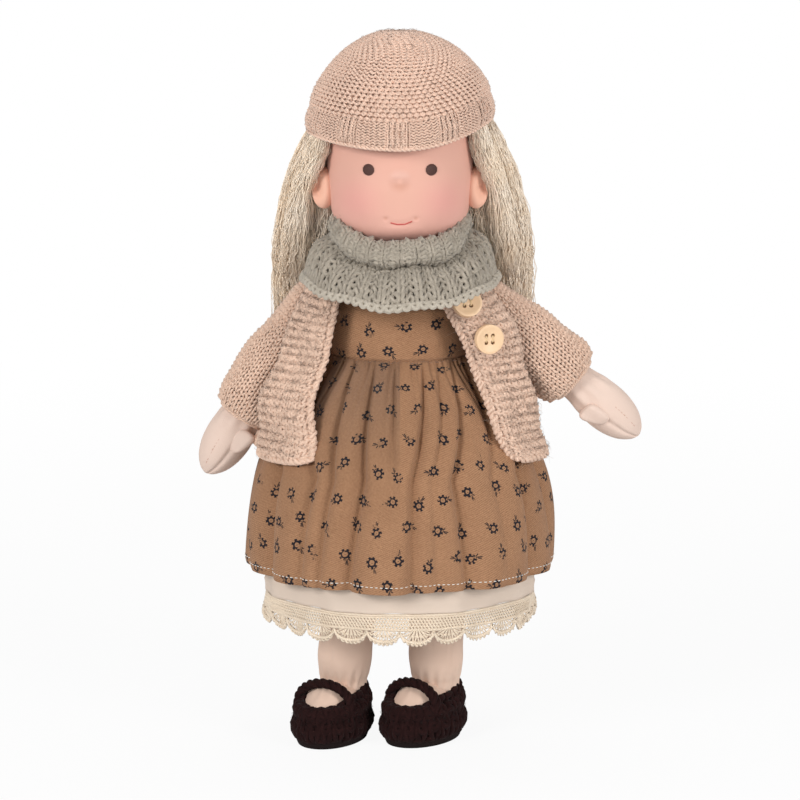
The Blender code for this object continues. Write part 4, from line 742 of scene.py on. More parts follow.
for radius, grow, phase, wave in ((0.00056, 1.0, 0.0, 0.0003), (0.00056, 1.0, 0.5, 0.0003),
                                  (0.00042, 1.18, 0.25, 0.0005), (0.00036, 0.52, 0.0, 0.0003)):
    twist = math.tau * (t * scallops * 8 + phase)
    drop = 0.0066 + np.cos(arc) * reach * grow + wave * np.sin(twist)
    lace_parts.append(lace_thread_along(t, drop, 0.0003 * np.cos(twist), radius, True))
assemble("lace_crochet", lace_parts, lace_thread, "body", "lace_edging", "lace_edging")

# Skirt: printed cotton twill, gathered into the waist seam, falling in folds that widen to a stitched hem.
def printed(name, girth):
    """Tan twill with scattered dark ring flowers on short stems. The UV places are turns round the doll and
    metres down, and girth gives the metres round the cloth there."""
    made = Finish(name, 0.9, 0.12)
    turns, y, _ = made.split(made.uv)
    cell = 0.0114
    row = (y / cell).math("FLOOR")
    around = girth(y)
    count = (girth((row + 0.5) * cell) / cell).math("FLOOR")
    shifted = turns * count + row * 0.37
    column = shifted.math("FLOOR")
    same = column - (column / count).math("FLOOR") * count
    where = made.node("ShaderNodeCombineXYZ", {}, {"X": same, "Y": row, "Z": 0.0})
    chance = made.node("ShaderNodeTexWhiteNoise", {"noise_dimensions": "3D"}, {"Vector": where}, "Color")
    first, second, third = made.split(chance)
    turn = third * math.tau
    cosine, sine = turn.math("COSINE"), turn.math("SINE")
    across = (shifted - column - 0.5 - (first - 0.5) * 0.36) * (around / count)
    up = (y / cell - row - 0.5 - (second - 0.5) * 0.36) * cell
    along = across * cosine + up * sine + 0.0012
    aside = up * cosine - across * sine
    radius = (along * along + aside * aside).math("SQRT")
    angle = aside.math("ARCTAN2", along)
    wobble = made.noise(520.0, 1.0) - 0.5
    size = 0.00104 + first * 0.00030
    ring = abs(radius - size - wobble * 0.0009).below(0.00034, 0.00007)
    teeth = (angle * (6.0 + second.math("ROUND"))).math("COSINE").below(0.15, 0.25)
    teeth = teeth * abs(radius - size - 0.00052).below(0.00048, 0.00008)
    dot = radius.below(0.00016, 0.00008)
    stem = abs(aside - (along - 0.0018) * 0.25 - wobble * 0.0003).below(0.00017, 0.00007)
    stem = stem * abs(along - 0.0031).below(0.00120, 0.00010)
    leaf_one = abs(aside - 0.00080 - (along - 0.0030) * 0.5).below(0.00024, 0.00008)
    leaf_one = leaf_one * abs(along - 0.0031).below(0.00062, 0.00010)
    leaf_two = abs(aside + 0.00066 + (along - 0.0026) * 0.6).below(0.00023, 0.00008)
    leaf_two = leaf_two * abs(along - 0.0026).below(0.00050, 0.00010)
    ink = ring.math("MAXIMUM", teeth).math("MAXIMUM", dot).math("MAXIMUM", stem)
    ink = ink.math("MAXIMUM", leaf_one).math("MAXIMUM", leaf_two)
    ink = ink * (1.0 - (made.noise(330.0, 2.0)).below(0.39, 0.04) * 0.9)
    twill = ((turns * around * 0.45 + y) * (math.tau / 0.00085)).math("SINE") * 0.5 + 0.5
    weave = made.noise(1100.0, 2.0)
    base = made.blend(made.noise(85.0) * 0.30 + weave * 0.70 + twill * 0.35 - 0.25, (0.430, 0.232, 0.124),
                      (0.215, 0.102, 0.050))
    made.colour(made.blend(ink, base, (0.010, 0.008, 0.012)))
    made.bump(twill * 0.6 + weave, 0.00022)
    return made


def skirt_girth(down):
    """Metres round the skirt, by the metres below its waist seam."""
    return ((1.0 - (1.0 - down / 0.098) ** 3.0) ** 1.5) * 0.235 + 0.165


twill_print = printed("printed_twill", skirt_girth)
# Each fold: its angles in degrees from straight ahead at the waist, half way down and at the hem, the shares
# of the greatest depth that it has there, and its half width in degrees.
folds = (
    (-72, -37, -40, 0.9, 0.7, 0.6, 5.5),
    (-41, -28, -32, 0.9, 0.8, 0.6, 5.0),
    (-21, -15, -20, 0.9, 1.0, 0.9, 5.5),
    (-4, -3, -4, 0.9, 0.2, 0.0, 4.5), (19, 5, 4, 0.9, 0.9, 0.8, 5.0), (32, 13, 14, 0.6, 0.5, 0.5, 7.0),
    (46, 22, 26, 0.9, 0.8, 0.7, 5.0), (62, 40, 42, 0.9, 0.3, 0.2, 6.0), (80, 56, 59, 0.8, 1.0, 0.8, 6.0),
    (100, 77, 79, 0.8, 0.9, 0.8, 7.0), (119, 98, 99, 0.9, 0.8, 0.9, 7.5), (138, 119, 118, 0.8, 1.0, 0.7, 7.0),
    (158, 141, 140, 0.9, 0.8, 0.9, 8.0),
    (177, 163, 165, 0.8, 0.9, 0.8, 7.0),
    (-160, -173, -170, 0.9, 0.8, 0.9, 7.5),
    (-142, -150, -147, 0.8, 1.0, 0.8, 7.5), (-124, -126, -123, 0.9, 0.8, 0.9, 7.0),
    (-107, -103, -100, 0.8, 0.9, 0.8, 7.0),
    (-90, -80, -78, 0.9, 0.9, 0.9, 6.5),
    (-80, -58, -58, 0.6, 0.8, 0.8, 6.0),
)


def skirt_inward(angle, fallen):
    """How far the folds draw the skirt in, in metres."""
    total = np.zeros(np.broadcast(angle, fallen).shape)
    for top, mid, low, deep_top, deep_mid, deep_low, width in folds:
        at = np.interp(fallen, (0.0, 0.5, 1.0), (top, mid, low))
        share = np.interp(fallen, (0.0, 0.5, 1.0), (deep_top, deep_mid, deep_low))
        off = np.degrees(np.angle(np.exp(1j * (angle - np.radians(at)))))
        half = width * (0.40 + 0.60 * smooth_share(fallen, 0.0, 0.9))
        half = half * np.where(off * np.sign(mid) > 0, 1.30, 0.62)
        total += share * np.exp(-1.5 * (np.sqrt((off / half) ** 2 + 0.02) - 0.141))
    tucks = np.zeros(total.shape)
    for k in range(46):
        at = k * 360.0 / 46 + 2.4 * math.sin(k * 2.3)
        off = np.degrees(np.angle(np.exp(1j * (angle - np.radians(at * (1.0 + 0.0 * fallen))))))
        fade = 0.09 + 0.20 * math.sin(k * 1.7) ** 2
        tucks += (0.0010 + 0.0005 * math.sin(k * 3.1)) * np.exp(-((off / 1.2) ** 2) - fallen / fade)
    bellow = 0.0009 * np.sin(9 * angle + 5 * fallen) * smooth_share(fallen, 0.1, 0.5)
    return fold_depth(fallen) * (1.3 * np.minimum(total, 1.0) - 0.3) + tucks + bellow - 0.0005


def skirt_place(u, fallen, out=0.0):
    """The skirt's outside, by its share of the way round and down."""
    angle = math.tau * u
    z = waist_z + (hem_z - waist_z) * fallen
    wide, deep = skirt_size(z)
    inward = skirt_inward(angle, fallen)
    roll = 0.0006 * smooth_share(fallen, 0.975, 1.0)
    return ring_of(wide, deep, inward - out + roll, angle, z)


u_grid, fallen_grid = np.meshgrid(np.arange(520) / 520, np.linspace(0.0, 1.0, 64) ** 1.25)
skirt = assemble(
    "skirt_cloth",
    [cloth(skirt_place(u_grid, fallen_grid), cloth_wall * 0.8, True, (1.0, 0.098))],
    twill_print, "body", "skirt", "skirt",
)
dash = np.linspace(0.0, 0.62, 4)[None]
dashes = 205
stitch_u = (np.arange(dashes)[:, None] + dash) / dashes
stitch_points = skirt_place(stitch_u, 0.964 + 0.0 * stitch_u, 0.00012)
stitch_points[:, 0] -= (stitch_points[:, 0] - middle) * (0.006, 0.006, 0.0)
stitch_points[:, -1] -= (stitch_points[:, -1] - middle) * (0.006, 0.006, 0.0)
white_thread = Finish("white_thread", 0.7).colour((0.800, 0.780, 0.740))
topstitch = assemble("hem_topstitch", [tube(stitch_points, 0.00017, stitch_points - middle, 5)],
                     white_thread, "body", "skirt")

# Bodice: the same twill, fitted over the chest, with a seam to the skirt at the waist.
bodice_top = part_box("bodice")[1].z


def bodice_place(u, rise):
    """The bodice's outside, by its share of the way round and up."""
    z = waist_z - 0.0008 + (bodice_top - waist_z + 0.0008) * rise
    wide, deep = body_size(np.maximum(z, waist_z))
    angle = math.tau * u
    pull = 0.00028 * np.cos(17 * angle + 0.7) * np.exp(-rise / 0.22) + 0.0002 * np.sin(z / 0.0016 + angle * 2)
    seam = 0.0012 * np.exp(-(((z - waist_z) / 0.00045) ** 2))
    return ring_of(wide + 0.0018, deep + 0.0018, seam + pull * 0.6, angle, z)


u_grid, rise_grid = np.meshgrid(np.arange(160) / 160, np.linspace(1.0, 0.0, 60))
bodice = assemble(
    "bodice_cloth",
    [cloth(bodice_place(u_grid, rise_grid), cloth_wall * 0.8, True, (1.0, 0.032))],
    printed("printed_bodice", lambda down: down * 0.0 + 0.168), "body", "bodice", "bodice",
)


# Arms: stuffed jersey with mitten hands. A running stitch shapes each hand and a small thumb is sewn on.
arm_length = 0.0855
# The arms and hands take a darker copy of the same jersey; the difference from the legs' copy is painted light
# and shade.
arm_jersey = jersey_finish("arm_jersey", (0.730, 0.572, 0.488), (0.640, 0.468, 0.386))
arm_table = [(z * arm_length, r, r * 0.95, 0.0, 0.0) for z, r in (
    (0.1060, 0.0010), (0.0980, 0.0035), (0.0750, 0.0065), (0.0350, 0.0086), (-0.04, 0.0089), (-0.30, 0.0086),
    (-0.50, 0.0081), (-0.62, 0.0082), (-0.70, 0.0094), (-0.78, 0.0100), (-0.86, 0.0092), (-0.93, 0.0070),
    (-0.98, 0.0036), (-0.998, 0.0008),
)]
arm_facts = {}
for joint, side, spread in ((frame["joints"][2], -1, 33.0), (frame["joints"][3], 1, 49.5)):
    side_name = "left" if side > 0 else "right"
    cosine, sine = math.cos(math.radians(spread)), -side * math.sin(math.radians(spread))
    arm_turn = np.array([[cosine, 0.0, -sine], [0.0, 1.0, 0.0], [sine, 0.0, cosine]])
    shoulder = np.array(joint["pos_m"])
    arm_facts[side_name] = (side, arm_turn, shoulder)
    arm_points = stuffed(arm_table, 72, 110)
    arm_angle = math.tau * np.arange(72) / 72
    away = np.stack([np.sin(arm_angle), -np.cos(arm_angle), 0.0 * arm_angle], 1)
    crease = np.exp(-(((arm_points[..., 2] + arm_length * 0.66) / 0.005) ** 2)) * np.cos(9 * arm_angle + side)
    flat = np.exp(-((np.angle(np.exp(1j * (arm_angle + side * 0.35))) / 0.10) ** 2))
    flat = flat * smooth_share(-arm_points[..., 2] / arm_length, 0.72, 0.82)
    arm_points -= away * (0.00045 * crease + 0.0010 * flat)[..., None]
    bpy.ops.object.select_all(action="DESELECT")
    bpy.ops.mesh.primitive_uv_sphere_add(segments=32, ring_count=20, radius=1.0)
    thumb = bpy.context.object
    thumb_points = np.array([vertex.co for vertex in thumb.data.vertices])
    thumb_points = np.sign(thumb_points) * np.abs(thumb_points) ** 0.62
    taper = 1.0 + 0.18 * thumb_points[:, 2:3]
    bend = thumb_points[:, 2:3] * (-side * 0.0014, -0.0006, 0.0)
    thumb_points = thumb_points * (0.0040, 0.0030, 0.0056) * np.hstack([taper, taper,
        np.ones_like(taper)]) + bend
    thumb_points[:, 1] -= 0.0007 * np.sin(thumb_points[:, 0] / 0.0016)
    thumb_points += (-side * 0.0048, -0.0076, -arm_length * 0.755)
    thumb.data.vertices.foreach_set("co", (thumb_points @ arm_turn + shoulder).astype(np.float32).ravel())
    bpy.ops.object.shade_smooth()
    thumb.name = "thumb_skin_" + side_name
    thumb.data.materials.append(arm_jersey.material)
    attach(thumb, side_name + "_arm")
    "arm_" + side_name
    arm = assemble("arm_skin_" + side_name, [skin(arm_points @ arm_turn + shoulder, (0.055, 0.09))],
        arm_jersey,
                   side_name + "_arm", "arm_" + side_name, "arm_" + side_name)
    dash = np.linspace(0.0, 0.55, 4)[None]
    fall = -arm_length * (0.80 + 0.17 * (np.arange(9)[:, None] + dash) / 9)
    hand_radius = np.interp(-fall, [-row[0] for row in arm_table], [row[1] for row in arm_table])
    run = np.full(fall.shape, side * 0.35)
    stitch = np.stack([hand_radius * np.sin(run), -hand_radius * 0.95 * np.cos(run) - 0.00005, fall], 2)
    assemble(
        "hand_stitches_" + side_name,
        [tube(stitch @ arm_turn + shoulder, 0.00016, (0.0, -1.0, 0.0))],
        Finish("hand_thread_" + side_name, 0.8).colour((0.560, 0.330, 0.250)),
        side_name + "_arm", "arm_" + side_name,
    )

# Sleeves: stockinette in beige wool, puffed over the lower arm and turned in at a crocheted edge.
beige_yarn = yarn_finish("beige_yarn", (0.795, 0.568, 0.438), (0.635, 0.430, 0.322), 0.2)
# Painted shade: the dark beige shell under the loops stands for the shade seen in the gaps between stitches.
beige_lining = Finish("beige_lining", 0.95).colour((0.360, 0.220, 0.155))


def wool(name, place, counts, radius, relief, face, finish, shade_sheet, body, node, flat, rests_on,
         inside=middle, closed=True, fibres=0, haze=0.0030, area=None, **knitted):
    """A knitted piece: loops of yarn on a thin shell, with loose fibres."""
    columns = 96 if closed else 40
    u = np.arange(columns) / columns if closed else np.linspace(0.0, 1.0, columns)
    u_grid, v_grid = np.meshgrid(u, np.linspace(0.0, 1.0, 48))
    points = place(u_grid, v_grid)
    # The shell's dark finish is painted shade, seen through the gaps between the loops.
    points = points - normals_of(points, closed, inside) * radius * 0.9
    shell = assemble(name + "_shell", [cloth(points, radius * 0.5, closed, flat, inside)], shade_sheet, body,
        node, node)
    loops = assemble(name + "_loops", knit(place, counts, radius, relief, face, inside, closed, **knitted),
                     finish, body, node)
    made = [loops]
    if fibres:
        made.append(assemble(name + "_fibres", [fuzz(place, fibres, haze, 0.00009, len(name), inside)],
                             finish, body, node))
    return shell, made


for side_name, sleeve_length in (("right", 0.0545), ("left", 0.0475)):
    side, arm_turn, shoulder = arm_facts[side_name]
    sleeve_fine = smooth_rows([(-sleeve_length * z, r) for z, r in (
        (1.000, 0.0102), (0.988, 0.0128), (0.940, 0.0144), (0.850, 0.0151), (0.640, 0.0150), (0.420, 0.0142),
        (0.220, 0.0125), (0.000, 0.0113),
    )] + [(0.0043, 0.0104), (0.0079, 0.0079), (0.0103, 0.0043), (0.0110, 0.0012)], 240)
    sleeve_walk = np.cumsum(np.hypot(*np.diff(sleeve_fine, axis=0, prepend=sleeve_fine[:1]).T))

    def sleeve_place(u, v, fine=sleeve_fine, walk=sleeve_walk, hand=side, frame_turn=arm_turn, at=shoulder):
        gone = v * walk[-1]
        z = np.interp(gone, walk, fine[:, 0])
        radius = np.interp(gone, walk, fine[:, 1]) - 0.0011
        angle = math.tau * u
        fold = 0.00045 * np.sin(z / 0.0050 + 1.7 * np.sin(angle * 2 + hand)) * smooth_share(-z, 0.005, 0.02)
        radius = radius + fold
        return np.stack([radius * np.sin(angle), -radius * np.cos(angle), z], -1) @ frame_turn + at

    rows = 35 if side < 0 else 32
    size_at = np.interp(np.linspace(0.0, 1.0, rows), sleeve_walk / sleeve_walk[-1], sleeve_fine[:, 1])
    counts = [int(33 * min(r / 0.0125, 1.0)) if i > rows * 0.6 else 33 for i, r in enumerate(size_at)]
    wool("sleeve_" + side_name, sleeve_place, counts, 0.00066, 0.00105, lambda r, c: -1, beige_yarn,
        beige_lining,
         side_name + "_arm", "sleeve_" + side_name, (0.085, sleeve_length + 0.018), ["arm_skin_" + side_name],
         inside=shoulder - np.array([0.0, 0.0, 0.03]) @ arm_turn, fibres=1300, haze=0.0024, seed=5, steps=9)
    t = np.linspace(0.0, 1.0, 200, endpoint=False)
    edge_parts = []
    for phase in (0.0, 0.5):
        twist = math.tau * (34 * t + phase)
        radius = 0.0100 + 0.0005 * np.cos(twist)
        ring = np.stack([radius * np.sin(math.tau * t), -radius * np.cos(math.tau * t),
                         -sleeve_length - 0.0011 + 0.0007 * np.sin(twist)], 1)
        edge_parts.append(tube((ring @ arm_turn + shoulder)[None], 0.00062, arm_turn[2], 6, True, 0.004))
    assemble("cuff_crochet_" + side_name, edge_parts, beige_yarn, side_name + "_arm", "cuff_" + side_name,
             "cuff_" + side_name)

# Cardigan: a back in stockinette and two open fronts in welts, soft beige wool with a haze of fibres. The
# fronts' edges roll in, and the side seams join them to the back under the arms.
cardigan_hem = waist_z - 0.037
cardigan_top = shoulder_z + 0.0105


def cardigan_point(z, angle, front):
    """A point on the cardigan, by its height and its angle from straight ahead."""
    lift = 0.0018 + 0.0022 * smooth_share(z, waist_z, shoulder_z)
    below = z - lift
    skirt_wide, skirt_deep = skirt_size(np.minimum(below, waist_z))
    body_wide, body_deep = body_size(np.maximum(below, waist_z))
    over = below >= waist_z
    wide = np.where(over, body_wide + 0.0013, skirt_wide)
    deep = np.where(over, body_deep + 0.0013, skirt_deep)
    ease = 0.0024 + 0.0040 * smooth_share(z, waist_z - 0.015, waist_z + 0.004)
    if front:
        rise = (z - cardigan_hem) / (cardigan_top - cardigan_hem)
        wide = wide + 0.0105 * smooth_share(rise, 0.05, 0.40) * (1.0 - smooth_share(rise, 0.50, 0.95))
    power = 2.0 + 0.8 * smooth_share(z, cardigan_hem, waist_z)
    sine, cosine = np.sin(angle), np.cos(angle)
    x = (wide + ease) * np.sign(sine) * np.abs(sine) ** (2.0 / power)
    y = -(deep + ease) * np.sign(cosine) * np.abs(cosine) ** (2.0 / power)
    return middle + np.stack(np.broadcast_arrays(x, y, z), -1)


def seam_angle(z, front, ahead):
    """The angle at which the cardigan is some way ahead of the doll's middle."""
    angles = np.radians(np.linspace(20.0, 110.0, 181))
    depth = middle[1] - cardigan_point(np.asarray(z)[..., None], angles, front)[..., 1]
    return np.radians(110.0 - 0.5 * (depth < ahead).sum(-1))


panel_z = np.linspace(cardigan_hem, cardigan_top, 60)
front_seam = np.array([seam_angle(z, True, 0.0140) for z in panel_z])
back_seam = np.array([seam_angle(z, False, 0.0150) for z in panel_z])
shares = np.linspace(0.0, 1.0, 60)


def seam_swell(v):
    """How far the side seams stand out over the skirt and under the sleeves."""
    return 0.0045 - 0.0010 * v + 0.0030 * smooth_share(v, 0.10, 0.45) * (1.0 - smooth_share(v, 0.75, 1.0))


def front_place(side, u, v):
    """One front, u from its open edge to the side seam and v up."""
    v = np.clip(v, 0.0, 1.0)
    start = np.radians(53.0 - 31.0 * v) if side > 0 else np.radians(41.0 - 2.0 * v)
    stop = np.interp(v, shares, front_seam)
    angle = start + (stop - start) * u
    low = cardigan_hem - 0.0032
    z = low + (cardigan_top - 0.0045 * np.cos(angle) ** 2 - low) * v
    z = z + 0.0022 * np.exp(-(v / 0.06)) * (np.exp(-u / 0.12) + np.exp(-(1.0 - u) / 0.12))
    point = cardigan_point(np.maximum(z, cardigan_hem - 0.002), side * angle, True)
    point[..., 2] = z
    out = point - middle
    out[..., 2] = 0.0
    out /= np.linalg.norm(out, axis=-1, keepdims=True)
    across = np.clip(u, 0.0, 1.0)
    puff = 0.0030 * np.sin(math.pi * across ** 0.7) - 0.0022 * np.exp(-across / 0.07)
    welt = 0.0004 * np.cos(math.tau * (v * 20.0 - 0.25)) * smooth_share(0.80 - across, 0.0, 0.25)
    sway = 0.0012 * np.sin(v * 9.0 + side) - 0.0018 * np.exp(-v / 0.04)
    swell = seam_swell(v) * smooth_share(across, 0.25, 1.0)
    over_sleeve = smooth_share(across, 0.4, 1.0) * (1.0 - smooth_share(v, 0.80, 1.0))
    shift = np.stack(np.broadcast_arrays(side * swell, -0.0030 * over_sleeve, 0.0 * swell), -1)
    return point + shift + out * (puff + welt + sway)[..., None]


def welted(row, column):
    """Every other row shows its purl bumps, apart from the column at each edge."""
    return 1 if row % 2 == 0 and column > 0 else -1


for side_name, side, columns in (("right", -1, 10), ("left", 1, 8)):
    wool("front_" + side_name, lambda u, v, s=side: front_place(s, u, v), [columns] * 40, 0.00090, 0.00062,
         welted, beige_yarn, beige_lining, "body", "cardigan_front_" + side_name, (0.0028 * columns, 0.073),
         ["bodice_cloth", "skirt_cloth"], closed=False, fibres=2600, haze=0.0040, seed=side + 3, sides=5)
    run = np.concatenate([
        np.stack([np.full(180, 0.01), np.linspace(0.985, 0.015, 180)]),
        np.stack([np.linspace(0.02, 0.99, 70), np.full(70, 0.01)]),
    ], 1)
    path = front_place(side, run[0], run[1])
    walk = np.cumsum(np.linalg.norm(np.diff(path, axis=0, prepend=path[:1]), axis=1))
    out = (path - middle) * (1.0, 1.0, 0.0)
    out /= np.linalg.norm(out, axis=1, keepdims=True)
    beside = np.cross(np.gradient(path, axis=0), out)
    beside /= np.linalg.norm(beside, axis=1, keepdims=True)
    cords = []
    for phase in (0.0, math.pi):
        twist = (math.tau * walk / 0.0046 + phase)[:, None]
        cords.append(path + out * 0.0007 * np.cos(twist) + beside * 0.0007 * np.sin(twist))
    assemble("front_edge_" + side_name, [tube(np.array(cords), 0.00095, out, 6, False, 0.005)], beige_yarn,
             "body", "cardigan_front_" + side_name)


def back_place(u, v):
    """The back, u from the right side seam round behind to the left one and v up."""
    v = np.clip(v, 0.0, 1.0)
    seam = np.interp(v, shares, back_seam)
    angle = -seam - (math.tau - 2.0 * seam) * u
    z = cardigan_hem + (cardigan_top - 0.0045 * np.cos(angle) ** 2 - cardigan_hem) * v
    point = cardigan_point(z, angle, False)
    out = point - middle
    out[..., 2] = 0.0
    out /= np.linalg.norm(out, axis=-1, keepdims=True)
    sway = 0.0008 * np.sin(7 * angle) * (1.0 - v) - 0.0008 * np.exp(-v / 0.03)
    clear = 1.0 - 0.85 * smooth_share(v, 0.08, 0.35)
    swell = seam_swell(v) * (clear * np.exp(-((1.0 - u) / 0.12) ** 2) - np.exp(-(u / 0.12) ** 2))
    return point + np.stack([swell, 0.0 * swell, 0.0 * swell], -1) + out * sway[..., None]


wool("back", back_place, [62] * 32, 0.00072, 0.00075, lambda r, c: -1 if 3 < r else 1 - 2 * (c % 2),
    beige_yarn,
     beige_lining, "body", "cardigan_back", (0.190, 0.070), ["bodice_cloth", "skirt_cloth"], closed=False,
     fibres=1600, seed=9, steps=8)

# Buttons: turned cream discs with a rim and a dished face, sewn on through four holes.
button_cream = Finish("button_cream", 0.38)
button_cream.colour(button_cream.blend(button_cream.noise(300.0) * 0.5, (0.810, 0.570, 0.360), (0.750,
    0.490, 0.290)))
button_thread = Finish("button_thread", 0.85).colour((0.800, 0.600, 0.360))
panel = front_place(1, *np.meshgrid(np.linspace(0.0, 1.0, 80), np.linspace(0.5, 1.0, 120))).reshape(-1, 3)
for name, inward, lower in (("button_lower", 0.0006, 0.0020), ("button_upper", 0.0034, 0.0)):
    low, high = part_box(name)
    seat_x, seat_z = (low.x + high.x) / 2 - inward, (low.z + high.z) / 2 - lower
    under = panel[np.hypot(panel[:, 0] - seat_x, panel[:, 2] - seat_z) < 0.0060]
    seat = under.mean(0)
    facing = np.linalg.svd(under - seat)[2][2]
    facing *= -np.sign(facing[1])
    seat = seat + facing * (((under - seat) @ facing).max() * 0.6 + 0.0010)
    turn = Vector(facing).to_track_quat("Z", "Y").to_matrix().to_4x4()
    turn.translation = Vector(seat)
    bpy.ops.object.select_all(action="DESELECT")
    bpy.ops.mesh.primitive_cylinder_add(vertices=64, radius=0.0060, depth=0.0026, location=(0.0, 0.0, 0.0013))
    button = bpy.context.object
    button.name = name + "_turned"
    cutters = []
    bpy.ops.mesh.primitive_uv_sphere_add(segments=64, ring_count=32, radius=0.0164, location=(0.0, 0.0,
        0.0182))
    cutters.append(bpy.context.object)
    for across in (-0.00145, 0.00145):
        for up in (-0.00145, 0.00145):
            bpy.ops.mesh.primitive_cylinder_add(vertices=20, radius=0.00085, depth=0.01,
                location=(across, up, 0.0))
            cutters.append(bpy.context.object)
    bpy.context.view_layer.objects.active = button
    for cutter in cutters:
        cut = button.modifiers.new("cut", "BOOLEAN")
        cut.object = cutter
        cut.solver = "EXACT"
        bpy.ops.object.modifier_apply(modifier=cut.name)
        bpy.data.objects.remove(cutter, do_unlink=True)
    rounding = button.modifiers.new("rounding", "BEVEL")
    rounding.width = 0.00032
    rounding.segments = 3
    rounding.angle_limit = math.radians(30)
    bpy.ops.object.modifier_apply(modifier=rounding.name)
    bpy.ops.object.select_all(action="DESELECT")
    button.select_set(True)
    bpy.ops.object.transform_apply(location=True)
    button.data.transform(turn)
    bpy.ops.object.shade_smooth_by_angle(angle=math.radians(40))
    button.data.materials.append(button_cream.material)
    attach(button, "body")
    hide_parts(name)
    t = np.linspace(0.0, 1.0, 12)
    strands = []
    for across in (-0.00145, 0.00145):
        for beside in (-0.00018, 0.00018):
            strands.append(np.stack([across + beside + 0 * t, 0.00145 * np.cos(math.pi * t),
                                     0.0004 + 0.0016 * np.sin(math.pi * t) ** 0.35], 1))
    strands = np.array(strands)
    matrix = np.array(turn)
    strands = strands @ matrix[:3, :3].T + matrix[:3, 3]
    assemble(name + "_thread", [tube(strands, 0.00017, matrix[:3, 0])], button_thread, "body", name)


# Head: rosy jersey drawn tight over a ball of wound wool, with a small pinched nose, an eye line drawn in,
# a mouth sewn in three red stitches and cheeks rubbed with crayon.
head_foot = neck[2]
head_height = 0.0765
head_shares = np.array([
    (0.000, 0.34),
    (0.014, 0.50),
    (0.035, 0.64),
    (0.065, 0.765),
    (0.105, 0.855),
    (0.160, 0.922),
    (0.225, 0.966),
    (0.320, 0.994), (0.435, 1.003), (0.565, 0.985), (0.695, 0.920), (0.800, 0.815), (0.890, 0.645),
    (0.955, 0.425), (0.990, 0.200), (0.999, 0.040),
])
head_rows = smooth_rows(head_shares, 130)
head_angle = math.tau * np.arange(160) / 160
head_centre = middle + np.array([0.0, -0.0010, 0.0])


def head_radius(z):
    """Half width of the head at a height."""
    return 0.0302 * np.interp((z - head_foot) / head_height, head_shares[:, 0], head_shares[:, 1])


head_points = np.empty((130, 160, 3))
head_points[..., 0] = 0.0302 * head_rows[:, 1:2] * np.sin(head_angle)
head_points[..., 1] = -0.0341 * head_rows[:, 1:2] * np.cos(head_angle)
head_points[..., 2] = head_foot + head_height * head_rows[:, 0:1]
x, z = head_points[..., 0], head_points[..., 2]
ahead = smooth_share(-head_points[..., 1], 0.0, 0.02)
nose = 0.0025 * np.exp(-((x / 0.0027) ** 2 + ((z - 0.2405) / 0.0025) ** 2))
eye_line = -0.0007 * np.exp(-(((z - 0.2455) / 0.0060) ** 2))
cheeks = 0.0008 * np.exp(-(((np.abs(x) - 0.0170) / 0.0090) ** 2 + ((z - 0.2320) / 0.0090) ** 2))
chin = 0.0006 * np.exp(-((x / 0.0080) ** 2 + ((z - 0.2190) / 0.0050) ** 2))
lips = -0.0004 * np.exp(-((x / 0.0060) ** 2 + ((z - 0.2230) / 0.0012) ** 2))
dimples = -0.0007 * np.exp(-(((np.abs(x - 0.0003) - 0.0060) / 0.0010) ** 2 + ((z - 0.2250) / 0.0009) ** 2))
head_points[..., 1] -= (nose + eye_line + cheeks + chin + lips + dimples) * ahead
rosy = Finish("rosy_jersey", 0.62, 0.15)
face_x, face_y, face_z = rosy.split(rosy.place)
face_x = face_x - head_centre[0]
side_off = abs(face_x) - 0.0185
cheek_far = (side_off * side_off * 1.0 + (face_z - 0.2315) * (face_z - 0.2315) * 1.25).math("SQRT")
blush = cheek_far.below(0.0080, 0.0080) * face_y.below(-0.008, 0.006)
# Painted light round the nose: a warm shadow is painted below it and a highlight on top of it.
nose_far = (face_x * face_x + (face_z - 0.2405) * (face_z - 0.2405)).math("SQRT")
nose_light_patch = nose_far.below(0.0030, 0.0030) * face_y.below(-0.02, 0.006)
skin_tone = rosy.blend(rosy.noise(45.0) * 0.3, (0.705, 0.392, 0.308), (0.665, 0.350, 0.274))
# Painted light: the lower face and chin are blended lighter, against the shade under the chin.
skin_tone = rosy.blend(face_z.below(0.2240, 0.0090) * 0.30, skin_tone, (0.950, 0.520, 0.455))
# Painted shadow: a warm darker patch under the nose.
painted_nose_shadow = face_z.below(0.2395, 0.0015) * nose_light_patch
skin_tone = rosy.blend(painted_nose_shadow * 0.45, skin_tone, (0.740, 0.340, 0.220))
# Painted highlight: a lighter patch on top of the nose.
painted_nose_highlight = (1.0 - face_z.below(0.2422, 0.0012)) * nose_light_patch
skin_tone = rosy.blend(painted_nose_highlight * 0.60, skin_tone, (0.860, 0.600, 0.520))
# Painted shade: two small darker spots in the dimples at the mouth's ends, where the hollows fall in shade.
dimple_across = abs(face_x - 0.0003) - 0.0061
dimple_shade_far = (dimple_across * dimple_across + (face_z - 0.2253) * (face_z - 0.2253)).math("SQRT")
skin_tone = rosy.blend(dimple_shade_far.below(0.0007, 0.0006) * face_y.below(-0.02, 0.006) * 0.5, skin_tone,
    (0.560, 0.260, 0.180))
rosy.colour(rosy.blend(blush * 0.55, skin_tone, (0.740, 0.325, 0.292)))
rosy.bump(rosy.noise(2600.0, 1.0), 0.00005)
head = assemble("head_skin", [skin(head_points + head_centre, (0.19, 0.09))], rosy, "head_group", "head",
    "head")


def on_face(across, z, out=0.0):
    """Points on the front of the face."""
    radius = head_radius(z)
    depth = np.sqrt(np.maximum(radius**2 - across**2, 0.0)) * 0.0341 / 0.0302
    drawn = 0.0004 * np.exp(-((across / 0.0060) ** 2 + ((z - 0.2230) / 0.0012) ** 2))
    drawn = drawn - 0.0006 * np.exp(-((across / 0.0080) ** 2 + ((z - 0.2190) / 0.0050) ** 2))
    drawn = drawn + 0.0007 * np.exp(-(((z - 0.2455) / 0.0060) ** 2))
    return head_centre + np.stack(np.broadcast_arrays(across, -depth + drawn - out, z), -1)


